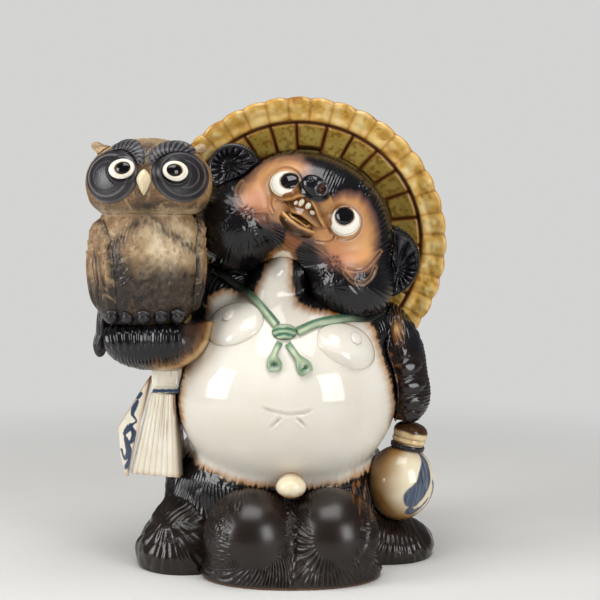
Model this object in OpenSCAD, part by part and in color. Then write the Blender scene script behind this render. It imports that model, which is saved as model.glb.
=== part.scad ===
// Glazed stoneware tanuki with an owl on its hand, cast in sections that are luted together.
// +Z is up, the figure faces -Y, and the origin is on the table under the middle of the whole figure.
// Left and right are the viewer's, as the figure is seen from the front.

/* [Trunk] */
// Half width of the belly
belly_rx = 104; // [98:1:108]
// Half depth of the belly
belly_ry = 86; // [82:1:90]
// Half height of the belly
belly_rz = 86; // [82:1:90]
// Height of the belly's middle above the table
belly_z = 156; // [152:1:160]
// Half width of the hips
hip_rx = 110; // [106:1:113]
// Half depth of the hips
hip_ry = 96; // [92:1:100]
// Half width of the left foot
left_foot_rx = 48; // [44:1:52]
// Half width of the right foot
right_foot_rx = 43; // [39:1:46]
// Wall of the cast trunk
trunk_wall = 8; // [6:0.5:10]

/* [Pouch] */
// Half width of each of the pouch's two lobes
pouch_rx = 43; // [39:1:46]
// Half depth of each lobe
pouch_ry = 47; // [43:1:50]
// Half height of each lobe
pouch_rz = 42; // [38:1:45]
// Distance between the middles of the lobes
lobe_gap = 72; // [66:1:76]
// Wall of the cast pouch
pouch_wall = 7; // [5:0.5:9]
// Half width of the small white knob above it
knob_rx = 13.5; // [11:0.5:15]

/* [Chest] */
// Half width of each breast
breast_rx = 30; // [28:1:33]
// Half height of each breast
breast_rz = 21; // [18:1:23]
// Height that each breast stands out of the chest
breast_h = 10; // [7:0.5:12]
// Radius of each nipple
nipple_r = 5.5; // [4:0.25:6.5]
// Height of each nipple
nipple_h = 3; // [2:0.25:4]
// Width of the hat's cord
cord_w = 7; // [5:0.5:9]
// Height that the cord stands out of the chest
cord_h = 4; // [3:0.25:6]
// Half width of the cord's knot
knot_rx = 11; // [9:0.5:13]

/* [Head] */
// Half width of the skull
skull_rx = 78; // [74:1:82]
// Half height of the skull
skull_rz = 64; // [60:1:68]
// Half depth of the skull
skull_ry = 66; // [63:1:70]
// Half width of each jowl
jowl_rx = 42; // [39:1:45]
// Half height of each jowl
jowl_rz = 45; // [42:1:48]
// Tilt of the head towards the flask
head_tilt = 32.3; // [29:0.1:35]
// Wall of the cast head
head_wall = 7; // [5:0.5:9]
// Radius of each eye
eye_r = 14; // [12:0.5:15.5]
// Height that each eye stands out of the face
eye_h = 6; // [4:0.5:8]
// Radius of each pupil
pupil_r = 9; // [7:0.25:10.5]
// Radius of each ear
ear_r = 25; // [22:0.5:28]
// Thickness of each ear
ear_t = 16; // [13:0.5:19]
// Depth of each ear's cup
ear_cup = 7; // [4:0.5:9]
// Half width of the muzzle
muzzle_rx = 26; // [23:1:28]
// Radius of the nose
nose_r = 12.5; // [11:0.25:14]
// Width of each tooth
tooth_w = 5.5; // [4:0.25:6.5]

/* [Hat] */
// Radius of the hat's rim
hat_r = 145; // [141:1:149]
// Width of the scalloped brim
brim_w = 25; // [20:1:28]
// Depth of the hat from its rim to its crown
hat_depth = 45; // [42:1:48]
// Thickness of the hat
hat_t = 7; // [5:0.5:9]
// Number of scallops round the brim
scallops = 40; // [30:1:44]
// Height of the scallops
scallop_h = 2.5; // [1:0.25:4]

/* [Flask] */
// Radius of the flask's body
flask_r = 33; // [30:0.5:35]
// Half height of the flask's body
flask_rz = 36; // [33:0.5:38]
// Radius of the flask's neck
flask_neck_r = 14; // [12:0.5:16]
// Height of the flask's collar
collar_h = 20; // [17:0.5:22]
// Wall of the flask
flask_wall = 5; // [4:0.5:6]
// Height of the dark band round the neck
band_h = 5; // [3:0.25:7]

/* [Ledger] */
// Height of the ledger's pages
ledger_h = 78; // [72:1:80]
// Height of the wooden tag above them
tag_h = 24; // [20:1:27]
// Width of the pages across their open foot
ledger_w = 48; // [44:1:51]
// Thickness of the ledger's cover
cover_t = 5; // [3.5:0.5:7]
// Number of ribs along the fore edge
page_ribs = 8; // [5:1:10]
// Depth of the grooves between the ribs
rib_h = 2.5; // [1.5:0.25:4]

/* [Owl] */
// Half width of the owl's body
owl_rx = 50; // [47:1:53]
// Half depth of the owl's body
owl_ry = 46; // [43:1:49]
// Half height of the owl's body
owl_rz = 58; // [55:1:61]
// Half width of the owl's head
owl_head_rx = 57; // [54:1:60]
// Half height of the owl's head
owl_head_rz = 38; // [36:1:40]
// Wall of the cast owl
owl_wall = 6; // [4:0.5:8]
// Height of the perch above the table
perch_z = 229; // [226:1:232]
// Radius of each disc round the owl's eyes
disc_r = 28.5; // [26:0.5:30]
// Thickness of each disc
disc_t = 4; // [3:0.25:5]
// Radius of each of the owl's eyes
owl_eye_r = 11.5; // [9.5:0.5:13]
// Radius of each of the owl's pupils
owl_pupil_r = 6.3; // [5:0.25:7.5]
// Length of the beak
beak_l = 24; // [20:1:27]
// Thickness of each wing
wing_t = 5; // [3.5:0.5:7]
// Length of the owl's tail below the perch
owl_tail_l = 34; // [28:1:38]

/* [Hidden] */
// Slip between two pieces that are luted together, under the larger and rougher ones, and in the
// deep seats of the flask, the hat, the head and the arms
joint_gap = 0.25;
wide_gap = 0.7;
deep_gap = 2;
// Distance over which neighbouring bulges run into each other
blend = 5;
// Longest ray that is cast from inside a piece
reach = 210;

// Places below are measured from the middle of the foot, and this moves them to the origin
to_middle = [15.37, 16.53, 0];

// Where each piece sits
belly_at = [-3, -39, belly_z];
hips_at = [-12, 4, 62];
head_at = [17.7, -10, 316.6];
hat_at = [9.5, 15, 297];
hat_lean = 10;
flask_at = [105, -36, 73];
flask_lean = 12;
owl_at = [-130, -75, 282];
owl_head_at = [-127, -75, 359];

// Bulges, each as its middle and its half sizes
trunk_bulges = [
  [belly_at, [belly_rx, belly_ry, belly_rz]],
  [[6, -26, 216], [88, 58, 42]],
  [[-62, -6, 248], [38, 36, 36]],
  [[73, -4, 214], [30, 38, 38]],
  [[-18, -28, 248], [24, 42, 36]],
  [[0, -26, 272], [20, 42, 26]],
  [hips_at, [hip_rx, hip_ry, 80]],
  [[0, 2, 14], [hip_rx + 4, hip_ry + 3, 54]],
  [[-97, -48, 10], [left_foot_rx, 52, 36]],
  [[-100, -42, 30], [left_foot_rx - 16, 46, 30]],
  [[97, -14, 8], [right_foot_rx, 50, 28]]
];
pouch_at = [2, -98, 38];
pouch_bulges = [
  for (s = [-1, 1]) [pouch_at + [s * lobe_gap / 2, 0, 0], [pouch_rx, pouch_ry, pouch_rz]],
  [[2, -94, 6], [82, 52, 30]]
];
knob_at = [2, -109, 84];
knob_bulges = [
  [knob_at, [knob_rx, knob_rx - 1, knob_rx - 3.5]],
  [knob_at + [0, 14, 3], [knob_rx - 3, 15, knob_rx - 5]]
];
head_bulges = [
  [[4, 8, 0], [skull_rx, skull_rz, skull_ry]],
  [[-54, -35, 14], [jowl_rx, jowl_rz, 60]],
  [[60, -26, 14], [jowl_rx + 3, jowl_rz - 2, 60]],
  [[-9, 6, 60], [30, 26, 14]]
];
muzzle_bulges = [
  [[-9, 23, 82], [muzzle_rx - 6, 12, 20]],
  [[-9, 12, 74], [muzzle_rx, 9, 14]],
  [[-13, 27, 92], [15, 12, 16]]
];
jaw_bulges = [[[-10, -4, 78], [18, 9, 16]]];
nose_bulges = [[[-15, 33, 105], [nose_r, 9.5, 8]]];
owl_bulges = [
  [owl_at, [owl_rx, owl_ry, owl_rz]],
  [[-132, -73, 252], [owl_rx - 6, owl_ry - 11, 36]],
  [[-129, -75, 316], [owl_rx - 4, owl_ry - 6, 30]]
];
owl_neck_z = 328;
owl_head_bulges = [
  [owl_head_at, [owl_head_rx, 46, owl_head_rz]],
  [owl_head_at + [0, 0, -16], [owl_head_rx - 6, 42, 24]]
];
owl_arm_bulges = [
  [[-70, -8, 246], [34, 34, 36]],
  [[-98, -40, 220], [36, 34, 32]],
  [[-124, -74, 212], [46, 38, 26]]
];
flask_arm_bulges = [
  [[84, -8, 214], [33, 36, 32]],
  [[104, -18, 187], [27, 34, 34]],
  [[110, -35, 156], [25, 26, 28]]
];

// Frames: an origin and three axes, the last of them pointing out of the piece
head_frame = [head_at, [cos(head_tilt), 0, -sin(head_tilt)], [sin(head_tilt), 0, cos(head_tilt)], [0, -1, 0]];
hat_frame = [hat_at, [1, 0, 0], [0, -sin(hat_lean), cos(hat_lean)], [0, -cos(hat_lean), -sin(hat_lean)]];
flask_frame = [
  flask_at, [cos(flask_lean), 0, -sin(flask_lean)], [0, 1, 0], [sin(flask_lean), 0, cos(flask_lean)]
];
function to_local(p, f) = let (d = p - f[0]) [d * f[1], d * f[2], d * f[3]];
function to_world(q, f) = f[0] + q[0] * f[1] + q[1] * f[2] + q[2] * f[3];
function unit(v) = v / norm(v);
// A frame at a point that faces along n, its second axis as near to +Z as it can be
function facing(at, n) =
  let (w = unit(n), u = unit(cross([0, 0, 1], w)))
  [at, u, cross(w, u), w];

function sum(v) = v * [for (x = v) 1];
function middle(pts) = [for (k = [0:2]) sum([for (p = pts) p[k]]) / len(pts)];
// Distance of a point from one bulge, below 0 inside it
function from_bulge(p, b) =
  let (d = p - b[0], r = b[1], q = [d[0] / r[0], d[1] / r[1], d[2] / r[2]])
  norm(q) * (norm(q) - 1) / max(norm([q[0] / r[0], q[1] / r[1], q[2] / r[2]]), 0.000001);
// Distance from a set of bulges that run into each other
function from_bulges(p, set, k = blend) = -k * ln(sum([for (b = set) exp(-from_bulge(p, b) / k)]));
// Distance from a block with rounded edges, in its own frame
function from_block(q, half, round) =
  let (e = [for (i = [0:2]) abs(q[i]) - half[i] + round])
  norm([for (v = e) max(v, 0)]) + min(max(e), 0) - round;

// Depth of the hat's front face behind its rim, at radius r
brim_slope = 0.36;
function hat_face(r) =
  let (inner = hat_r - brim_w)
  r > inner ? (hat_r - r) * brim_slope
  : hat_depth - (hat_depth - brim_w * brim_slope) * pow(r / inner, 3);
// How far a point is behind that face, above 0 inside the hat or past it
function behind_hat(p) =
  let (q = to_local(p, hat_frame), r = norm([q[0], q[1]]))
  min(-q[2] - hat_face(r), hat_r + 1 - r);
// The flask's neck starts here, and the band and the collar are stacked on it
neck_z = flask_rz - 4;
collar_z = neck_z + band_h + 2;
collar_r = flask_neck_r + 2.5;
function flask(p) =
  let (q = to_local(p, flask_frame), top = collar_z + collar_h, mid = (neck_z + top) / 2)
  min(
    from_bulge(q, [[0, 0, 0], [flask_r, flask_r, flask_rz]]),
    max(norm([q[0], q[1]]) - collar_r, abs(q[2] - mid) - (top - neck_z) / 2)
  );
function trunk(p) = max(from_bulges(p, trunk_bulges), deep_gap - flask(p), behind_hat(p) + deep_gap);
function skull(p) = from_bulges(to_local(p, head_frame), head_bulges);
function head_shape(p) = max(skull(p), deep_gap + wide_gap - trunk(p), behind_hat(p) + wide_gap);
function knob_shape(p) = max(from_bulges(p, knob_bulges, 2), wide_gap - trunk(p));
function pouch_shape(p) =
  max(from_bulges(p, pouch_bulges), deep_gap - trunk(p), 3 - from_bulges(p, knob_bulges, 2));
function muzzle_shape(p) = max(from_bulges(to_local(p, head_frame), muzzle_bulges, 3), joint_gap - skull(p));
function jaw_shape(p) =
  let (q = to_local(p, head_frame))
  max(from_bulges(q, jaw_bulges), joint_gap - skull(p), joint_gap - from_bulges(q, muzzle_bulges, 3));
function nose_shape(p) =
  let (q = to_local(p, head_frame))
  max(from_bulges(q, nose_bulges), joint_gap - from_bulges(q, muzzle_bulges, 3));
function owl_arm_shape(p) =
  max(from_bulges(p, owl_arm_bulges, 8), p[2] - perch_z, wide_gap - trunk(p), wide_gap - skull(p),
    behind_hat(p) + joint_gap);
function flask_arm_shape(p) =
  max(from_bulges(p, flask_arm_bulges, 8), deep_gap - trunk(p), wide_gap - skull(p),
    deep_gap - flask(p), behind_hat(p) + wide_gap);
function owl_shape(p) = max(from_bulges(p, owl_bulges), p[2] - owl_neck_z + joint_gap);
function owl_head_shape(p) = max(from_bulges(p, owl_head_bulges), owl_neck_z - p[2]);

// Distance along a ray at which it leaves a shape, found by halving the span
function leaves(o, d, f, near = 0, far = reach, n = 14) =
  n == 0 ? (near + far) / 2
  : let (m = (near + far) / 2)
    f(o + m * d) < 0 ? leaves(o, d, f, m, far, n - 1) : leaves(o, d, f, near, m, n - 1);
// Rows of rays round a spine: n_low rows from elevation low up to level, n_side along the spine,
// and n_top rows up to just short of the pole
function spine_rows(n_low, low, n_side, n_top) = concat(
  n_low == 0 ? [] : [for (i = [0:n_low - 1]) [0, low * (1 - i / n_low)]],
  [for (i = [0:n_side]) [n_side == 0 ? 0 : i / n_side, 0]],
  [for (i = [1:n_top - 1]) [1, 90 * i / n_top]]
);
function turn(n, from = 0, span = 360) = [for (j = [0:n - (span == 360 ? 1 : 0)]) from + span * j / n];
// Where those rays leave the shape, as [origin, direction, length]
function cast(f, base, tip, rows, angles, u0 = [1, 0, 0]) =
  let (w = unit(tip - base), v = unit(cross(w, u0)), u = cross(v, w))
  [for (r = rows) [for (a = angles)
    let (o = base + r[0] * (tip - base), d = cos(r[1]) * (cos(a) * u + sin(a) * v) + sin(r[1]) * w)
    [o, d, leaves(o, d, f)]]];
function skin(casts, less = 0) = [for (row = casts) [for (c = row) c[0] + max(c[2] - less, 1) * c[1]]];
function pole(f, o, d, less = 0) = o + max(leaves(o, d, f) - less, 1) * d;

// Faces of a grid of points: its rows run up, its columns run round
function grid_faces(rows, cols, start, flip, round = true) = [
  for (i = [0:rows - 2], j = [0:cols - (round ? 1 : 2)])
    let (a = start + i * cols + j, b = start + i * cols + (j + 1) % cols, c = a + cols, d = b + cols)
    each flip ? [[a, b, d], [a, d, c]] : [[a, d, b], [a, c, d]]
];
// A shell between an outer and an inner grid, open at its first row and closed over its last
module pot(outer, inner, outer_pole, inner_pole) {
  rows = len(outer);
  cols = len(outer[0]);
  n = rows * cols;
  translate(to_middle) polyhedron(
    concat([for (r = outer) each r], [for (r = inner) each r], [outer_pole, inner_pole]),
    concat(
      grid_faces(rows, cols, 0, false),
      grid_faces(rows, cols, n, true),
      [for (j = [0:cols - 1]) let (k = (j + 1) % cols) each [
        [j, k, n + k], [j, n + k, n + j],
        [n - cols + j, 2 * n, n - cols + k],
        [2 * n - cols + j, 2 * n - cols + k, 2 * n + 1]
      ]]
    )
  );
}
// The same shell, cut in half on a plane through its pole
module half_pot(outer, inner, outer_pole, inner_pole) {
  rows = len(outer);
  cols = len(outer[0]);
  n = rows * cols;
  top = n - cols;
  p = 2 * n;
  translate(to_middle) polyhedron(
    concat([for (r = outer) each r], [for (r = inner) each r], [outer_pole, inner_pole]),
    concat(
      grid_faces(rows, cols, 0, false, false),
      grid_faces(rows, cols, n, true, false),
      [for (j = [0:cols - 2]) each [
        [j, j + 1, n + j + 1], [j, n + j + 1, n + j],
        [top + j, p, top + j + 1], [n + top + j, n + top + j + 1, p + 1]
      ]],
      [for (i = [0:rows - 2]) let (a = i * cols, c = a + cols - 1) each [
        [a, n + a + cols, a + cols], [a, n + a, n + a + cols],
        [c, c + cols, n + c + cols], [c, n + c + cols, n + c]
      ]],
      [[top, p + 1, p], [top, n + top, p + 1], [n - 1, p, p + 1], [n - 1, p + 1, 2 * n - 1]]
    )
  );
}
// A solid inside one grid, closed by a pole at each end
module closed(grid, low, high) {
  rows = len(grid);
  cols = len(grid[0]);
  n = rows * cols;
  translate(to_middle) polyhedron(concat([for (r = grid) each r], [low, high]), concat(
    grid_faces(rows, cols, 0, false),
    [for (j = [0:cols - 1]) let (k = (j + 1) % cols) each [[j, k, n], [n - cols + j, n + 1, n - cols + k]]]
  ));
}
// A solid between an outer and an inner grid, with a wall along each of its four edges
module panel(outer, inner) {
  rows = len(outer);
  cols = len(outer[0]);
  n = rows * cols;
  last = n - cols;
  translate(to_middle) polyhedron(concat([for (r = outer) each r], [for (r = inner) each r]), concat(
    grid_faces(rows, cols, 0, false, false),
    grid_faces(rows, cols, n, true, false),
    [for (j = [0:cols - 2]) each [
      [j, j + 1, n + j + 1], [j, n + j + 1, n + j],
      [last + j, n + last + j + 1, last + j + 1], [last + j, n + last + j, n + last + j + 1]
    ]],
    [for (i = [0:rows - 2]) let (a = i * cols, c = a + cols - 1) each [
      [a, n + a + cols, a + cols], [a, n + a, n + a + cols],
      [c, c + cols, n + c + cols], [c, n + c + cols, n + c]
    ]]
  ));
}
// A solid cast round a spine, closed at both ends
module lump(f, base, tip, n_low, n_side, n_top, cols) {
  w = unit(tip - base);
  closed(
    skin(cast(f, base, tip, spine_rows(n_low, -90 + 90 / (n_low + 1), n_side, n_top), turn(cols))),
    pole(f, base, -w),
    pole(f, tip, w)
  );
}
// A relief laid on a shape: at(t, a) gives its radius and height, t = 0 at its edge and 1 at its middle,
// and under(x, y) is the height of what it lies on
module sprig(f, frame, at, rows, cols, under = function (x, y) 0) {
  deep = 30;
  pts = [for (i = [0:rows]) [for (a = turn(i == rows ? 1 : cols))
    let (rh = at(i / rows, a), x = rh[0] * cos(a), y = rh[0] * sin(a),
      o = to_world([x, y, -deep], frame), s = o + leaves(o, frame[3], f, 0, 2 * deep) * frame[3])
    [s + (joint_gap + under(x, y) + rh[1]) * frame[3], s + (joint_gap + under(x, y)) * frame[3]]]];
  pot(
    [for (i = [0:rows - 1]) [for (p = pts[i]) p[0]]],
    [for (i = [0:rows - 1]) [for (p = pts[i]) p[1]]],
    pts[rows][0][0],
    pts[rows][0][1]
  );
}
// A strip laid on a shape along points [x, z], seen from the front
function lie(f, x, z, from_y) = let (o = [x, from_y, z]) o + leaves(o, [0, -1, 0], f, 0, 150) * [0, -1, 0];
module strip(f, path, from_y, width, height, under = 0) {
  n = len(path);
  side = [for (i = [0:n - 1])
    let (t = unit(path[min(i + 1, n - 1)] - path[max(i - 1, 0)])) [t[1], -t[0]]];
  across = [-1, -0.55, 0, 0.55, 1];
  base = [for (i = [0:n - 1]) [for (e = across)
    let (p = path[i] + side[i] * e * width(i / (n - 1)) / 2)
    lie(f, p[0], p[1], from_y) + [0, -joint_gap - under, 0]]];
  panel(
    [for (i = [0:n - 1]) [for (j = [0:4])
      base[i][j] + [0, -height * max(sqrt(1 - across[j] * across[j]), 0.15), 0]]],
    base
  );
}
// Points along a smooth curve through a few chosen ones
function curve(pts, n) = [for (i = [0:n])
  let (t = i / n * (len(pts) - 1), k = min(floor(t), len(pts) - 2), s = t - k,
    a = pts[max(k - 1, 0)], b = pts[k], c = pts[k + 1], d = pts[min(k + 2, len(pts) - 1)])
  0.5 * (2 * b + s * (c - a) + s * s * (2 * a - 5 * b + 4 * c - d) + s * s * s * (3 * b - a - 3 * c + d))];

// Heights of a dome and of a flat relief, t = 0 at the edge and 1 at the middle
function dome(t, h) = max(h * sqrt(1 - (1 - t) * (1 - t)), 0.6);
function slab(t, h) = h * min(0.2 + 4 * t, 1);
function oval(rx, rz, a) = 1 / norm([cos(a) / rx, sin(a) / rz]);

module half_trunk(from) {
  f = function (p) trunk(p);
  foot = [0, -12, 0];
  top = [0, -12, 190];
  casts = cast(f, foot, top, spine_rows(0, 0, 13, 12), turn(24, from, 180));
  up = [0, 0, 1];
  half_pot(skin(casts), skin(casts, trunk_wall), pole(f, top, up), pole(f, top, up, trunk_wall));
}
module trunk_front() color([0.88, 0.85, 0.76]) half_trunk(180);
module trunk_back() color([0.13, 0.1, 0.09]) half_trunk(0);
module tail() {
  color([0.1, 0.08, 0.08])
    sprig(function (p) trunk(p), facing([16, 92, 60], [0, 1, 0]),
      function (t, a) [(1 - t) * oval(26, 40, a), dome(t, 14)], 4, 18, function (x, y) wide_gap);
}
module pouch() {
  f = function (p) pouch_shape(p);
  foot = [2, -108, 0];
  top = [2, -108, 28];
  casts = cast(f, foot, top, spine_rows(0, 0, 3, 6), turn(30));
  color([0.2, 0.16, 0.15])
    pot(skin(casts), skin(casts, pouch_wall), pole(f, top, [0, 0, 1]), pole(f, top, [0, 0, 1], pouch_wall));
}
module knob() {
  color([0.93, 0.89, 0.78])
    lump(function (p) knob_shape(p), knob_at, knob_at + [0, 9, 2], 3, 1, 3, 16);
}

// Each breast has its place, its frame and its tilt
breast_frames = [facing([-50, -66, 227], [-0.2, -1, 0.15]), facing([49, -68, 206], [0.2, -1, 0.15])];
breast_tilt = [8, -18];
nipple_from = [[-5, 8], [8, 7]];
function breast_top(x, y, k) =
  dome(max(1 - norm([x, y]) / oval(breast_rx, breast_rz, atan2(y, x) - breast_tilt[k]), 0), breast_h);
module breast(k) {
  color([0.93, 0.9, 0.82])
    sprig(function (p) trunk(p), breast_frames[k],
      function (t, a) [(1 - t) * oval(breast_rx, breast_rz, a - breast_tilt[k]), dome(t, breast_h)], 4, 18,
      function (x, y) deep_gap);
}
module breast_left() breast(0);
module breast_right() breast(1);
module nipples() {
  color([0.95, 0.9, 0.82])
    for (k = [0, 1]) {
      f = breast_frames[k];
      d = nipple_from[k];
      sprig(function (p) trunk(p), [f[0] + d[0] * f[1] + d[1] * f[2], f[1], f[2], f[3]],
        function (t, a) [(1 - t) * nipple_r, dome(t, nipple_h)], 2, 12,
        function (x, y) breast_top(x + d[0], y + d[1], k) + deep_gap + joint_gap);
    }
}

cord_left_path = [[-72, 277], [-50, 262], [-36, 253], [-22, 240], [-12, 229]];
cord_right_path = [[8, 223], [28, 230], [54, 233], [75, 232.5], [92, 238.5]];
cord_end_paths = [[[-8, 214], [-13, 203], [-12, 190]], [[-1, 213], [9, 200], [17, 188]]];
knot_at = [-4, -100, 221];
module cord(path, n, w0, w1, shade) {
  color(shade)
    strip(function (p) trunk(p), curve(path, n), -14, function (t) w0 + (w1 - w0) * t, cord_h,
      wide_gap + joint_gap);
}
module cord_left() cord(cord_left_path, 12, cord_w, cord_w, [0.35, 0.45, 0.33]);
module cord_right() cord(cord_right_path, 12, cord_w, cord_w, [0.3, 0.42, 0.3]);
module cord_knot() {
  color([0.3, 0.46, 0.32])
    sprig(function (p) trunk(p), facing([knot_at[0], -88, knot_at[2]], [0, -1, 0.2]),
      function (t, a) [(1 - t) * oval(knot_rx, knot_rx * 0.65, a), dome(t, cord_h + 3)], 3, 14);
}
module cord_ends() {
  for (path = cord_end_paths) cord(path, 5, cord_w, cord_w + 3, [0.5, 0.62, 0.48]);
}

ear_at = [[-88, 8, 2], [79, 10, 2]];
module head() {
  f = function (p) head_shape(p);
  low = to_world([-2, 14, -4], head_frame);
  w = unit([21, 23, 52]);
  casts = cast(f, low, low + 0.01 * w, spine_rows(5, -66, 0, 7), turn(36));
  color([0.16, 0.12, 0.11])
    pot(skin(casts), skin(casts, head_wall), pole(f, low, w), pole(f, low, w, head_wall));
}
// Rows of an ear, as [share of the radius, height], from the back over the rim into the cup
ear_rows = [
  [0.45, 4 - ear_t], [0.8, 7 - ear_t], [1, ear_cup - 8], [1, ear_cup - 3],
  [0.86, ear_cup], [0.7, ear_cup - 3], [0.5, 1.5], [0.25, 0]
];
module ear(middle, inner, rx, rz) {
  frame = [to_world(middle, head_frame), head_frame[1], head_frame[2], head_frame[3]];
  c = to_world(inner, frame);
  edge = function (p) let (q = to_local(p, frame))
    max(from_bulge(q, [[0, 0, 0], [rx, rz, 400]]), wide_gap - skull(p), behind_hat(p) + joint_gap,
      wide_gap - trunk(p), joint_gap - from_bulges(p, flask_arm_bulges, 8));
  grid = [for (r = ear_rows) [for (a = turn(20))
    let (o = c + r[1] * frame[3], d = cos(a) * frame[1] + sin(a) * frame[2])
    o + r[0] * leaves(o, d, edge, 0, 80) * d]];
  color([0.1, 0.08, 0.08]) closed(grid, c + (3 - ear_t) * frame[3], c);
}
module ear_left() ear(ear_at[0], [-7, 0, 0], ear_r + 1, ear_r);
module ear_right() ear(ear_at[1], [17, -1, 0], ear_r + 10, ear_r + 11);
module head_lump(f, from, to, cols = 24) {
  lump(f, to_world(from, head_frame), to_world(to, head_frame), 3, 1, 3, cols);
}
module muzzle() {
  color([0.55, 0.32, 0.2]) head_lump(function (p) muzzle_shape(p), [-9, 20, 86], [-12, 25, 93], 22);
}
module lower_jaw() {
  color([0.6, 0.33, 0.2]) head_lump(function (p) jaw_shape(p), [-10, -4, 82], [-10, -4.5, 85], 16);
}
module nose() {
  color([0.07, 0.06, 0.06]) head_lump(function (p) nose_shape(p), [-15, 33, 107], [-15, 33, 108], 16);
}
function snout(p) = min(skull(p), from_bulges(to_local(p, head_frame), muzzle_bulges, 3));
module teeth() {
  color([0.93, 0.89, 0.78])
    for (a = [-20, -13.5, -4])
      sprig(function (p) snout(p),
        [to_world([a, 9, 88], head_frame), head_frame[1], head_frame[2], head_frame[3]],
        function (t, c) [(1 - t) * oval(tooth_w / 2, 4, c), dome(t, 2)], 2, 8);
}

// Eyes: the middle of the white, and how far off it the pupil sits
eye_at = [[-38.6, 21.2], [26, 21.2]];
pupil_from = [[1.8, 5], [-3.5, 4.5]];
pupil_deep = 1.5;
// Radius and height of an eye's surface, measured round its pupil
function eye_row(t, a, from, r, rp, h) =
  let (out = -from[0] * cos(a) - from[1] * sin(a), edge = out + sqrt(r * r - from * from + out * out))
  t < 0.1 ? [edge, 0.8]
  : t < 0.3 ? [edge * 0.7 + rp * 0.3, h * 0.75]
  : t < 0.5 ? [edge * 0.25 + rp * 0.75 + 0.4, h]
  : t < 0.7 ? [rp + 0.4, h * 0.9]
  : t < 0.9 ? [rp + 0.2, pupil_deep]
  : [0, pupil_deep];
function on_head(a, b, d) = [to_world([a, b, d], head_frame), head_frame[1], head_frame[2], head_frame[3]];
module eye(k) {
  e = eye_at[k] + pupil_from[k];
  color([0.93, 0.9, 0.82])
    sprig(function (p) skull(p), on_head(e[0], e[1], 62),
      function (t, a) eye_row(t, a, pupil_from[k], eye_r, pupil_r, eye_h), 5, 20, function (x, y) joint_gap);
}
module eye_left() eye(0);
module eye_right() eye(1);
module pupils() {
  color([0.04, 0.03, 0.03])
    for (k = [0, 1]) {
      e = eye_at[k] + pupil_from[k];
      sprig(function (p) skull(p), on_head(e[0], e[1], 62),
        function (t, a) [(1 - t) * pupil_r, dome(t, 2)], 2, 16,
        function (x, y) pupil_deep + 2 * joint_gap);
    }
}

// Rows of the hat, as [radius, height, share of the scallops], from the back over the rim
module hat() {
  inner = hat_r - brim_w;
  rows = concat(
    [for (r = [0.4, 0.75, 1]) [r * inner, -hat_face(r * inner) - hat_t, 0]],
    [
      [hat_r - 3, -hat_face(hat_r - 3) - hat_t, 0.5],
      [hat_r, -hat_t * 0.6, 1],
      [hat_r - 1, -0.5, 1],
      [hat_r - brim_w / 2, -hat_face(hat_r - brim_w / 2), 1],
      [inner + 1, -hat_face(inner + 1), 0.3],
      [inner - 0.5, -hat_face(inner) - 2.5, 0]
    ],
    [for (r = [0.8, 0.45]) [r * inner, -hat_face(r * inner) - 0.5, 0]]
  );
  grid = [for (r = rows) [for (a = turn(120))
    let (wave = (1 - cos(scallops * a)) / 2 * scallop_h * r[2], rad = r[0] - wave * 0.6)
    to_world([rad * cos(a), rad * sin(a), r[1] - wave], hat_frame)]];
  color([0.82, 0.66, 0.3])
    closed(grid, to_world([0, 0, -hat_depth - hat_t], hat_frame), to_world([0, 0, -hat_depth - 0.5], hat_frame));
}

module owl_arm() {
  color([0.12, 0.1, 0.1])
    lump(function (p) owl_arm_shape(p), [-126, -74, 209], [-88, -30, 228], 4, 3, 4, 26);
}
module flask_arm() {
  color([0.1, 0.08, 0.08])
    lump(function (p) flask_arm_shape(p), [112, -36, 152], [109, -18, 208], 4, 5, 4, 32);
}
module on_flask() {
  translate(to_middle + flask_at) rotate([0, flask_lean, 0]) children();
}
module flask_body() {
  e = acos(flask_neck_r / flask_r);
  inside = flask_neck_r - flask_wall;
  ri = flask_r - flask_wall;
  zi = flask_rz - flask_wall;
  ei = acos(inside / ri);
  color([0.88, 0.84, 0.74]) on_flask() rotate_extrude($fn = 72) polygon(concat(
    [for (i = [0:16]) let (a = -90 + (90 + e) * i / 16) [flask_r * cos(a), flask_rz * sin(a)]],
    [[flask_neck_r, collar_z], [inside, collar_z]],
    [for (i = [16:-1:0]) let (a = -90 + (90 + ei) * i / 16) [ri * cos(a), zi * sin(a)]]
  ));
}
module flask_band() {
  color([0.1, 0.09, 0.09]) on_flask() translate([0, 0, neck_z + 1])
    rotate_extrude($fn = 72) translate([flask_neck_r + joint_gap, 0]) square([2, band_h]);
}
module flask_collar() {
  shoulder = collar_h * 0.45;
  color([0.5, 0.38, 0.28]) on_flask() translate([0, 0, collar_z + joint_gap])
    rotate_extrude($fn = 72) polygon(concat(
      [[0, 0], [collar_r - 0.5, 0]],
      [for (i = [0:8]) let (a = 90 * i / 8)
        [(collar_r - 0.5) * cos(a), shoulder + (collar_h - joint_gap - shoulder) * sin(a)]]
    ));
}

// Corners of the ledger's cover, and its plane
cover_a = [-131, -57, 178];
cover_b = [-167, -20, 122];
cover_c = [-164, -20, 98];
cover_d = [-156, -47, 81];
cover_out = unit(cross(cover_a - cover_d, cover_b - cover_d));
ledger_foot = 83;
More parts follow.
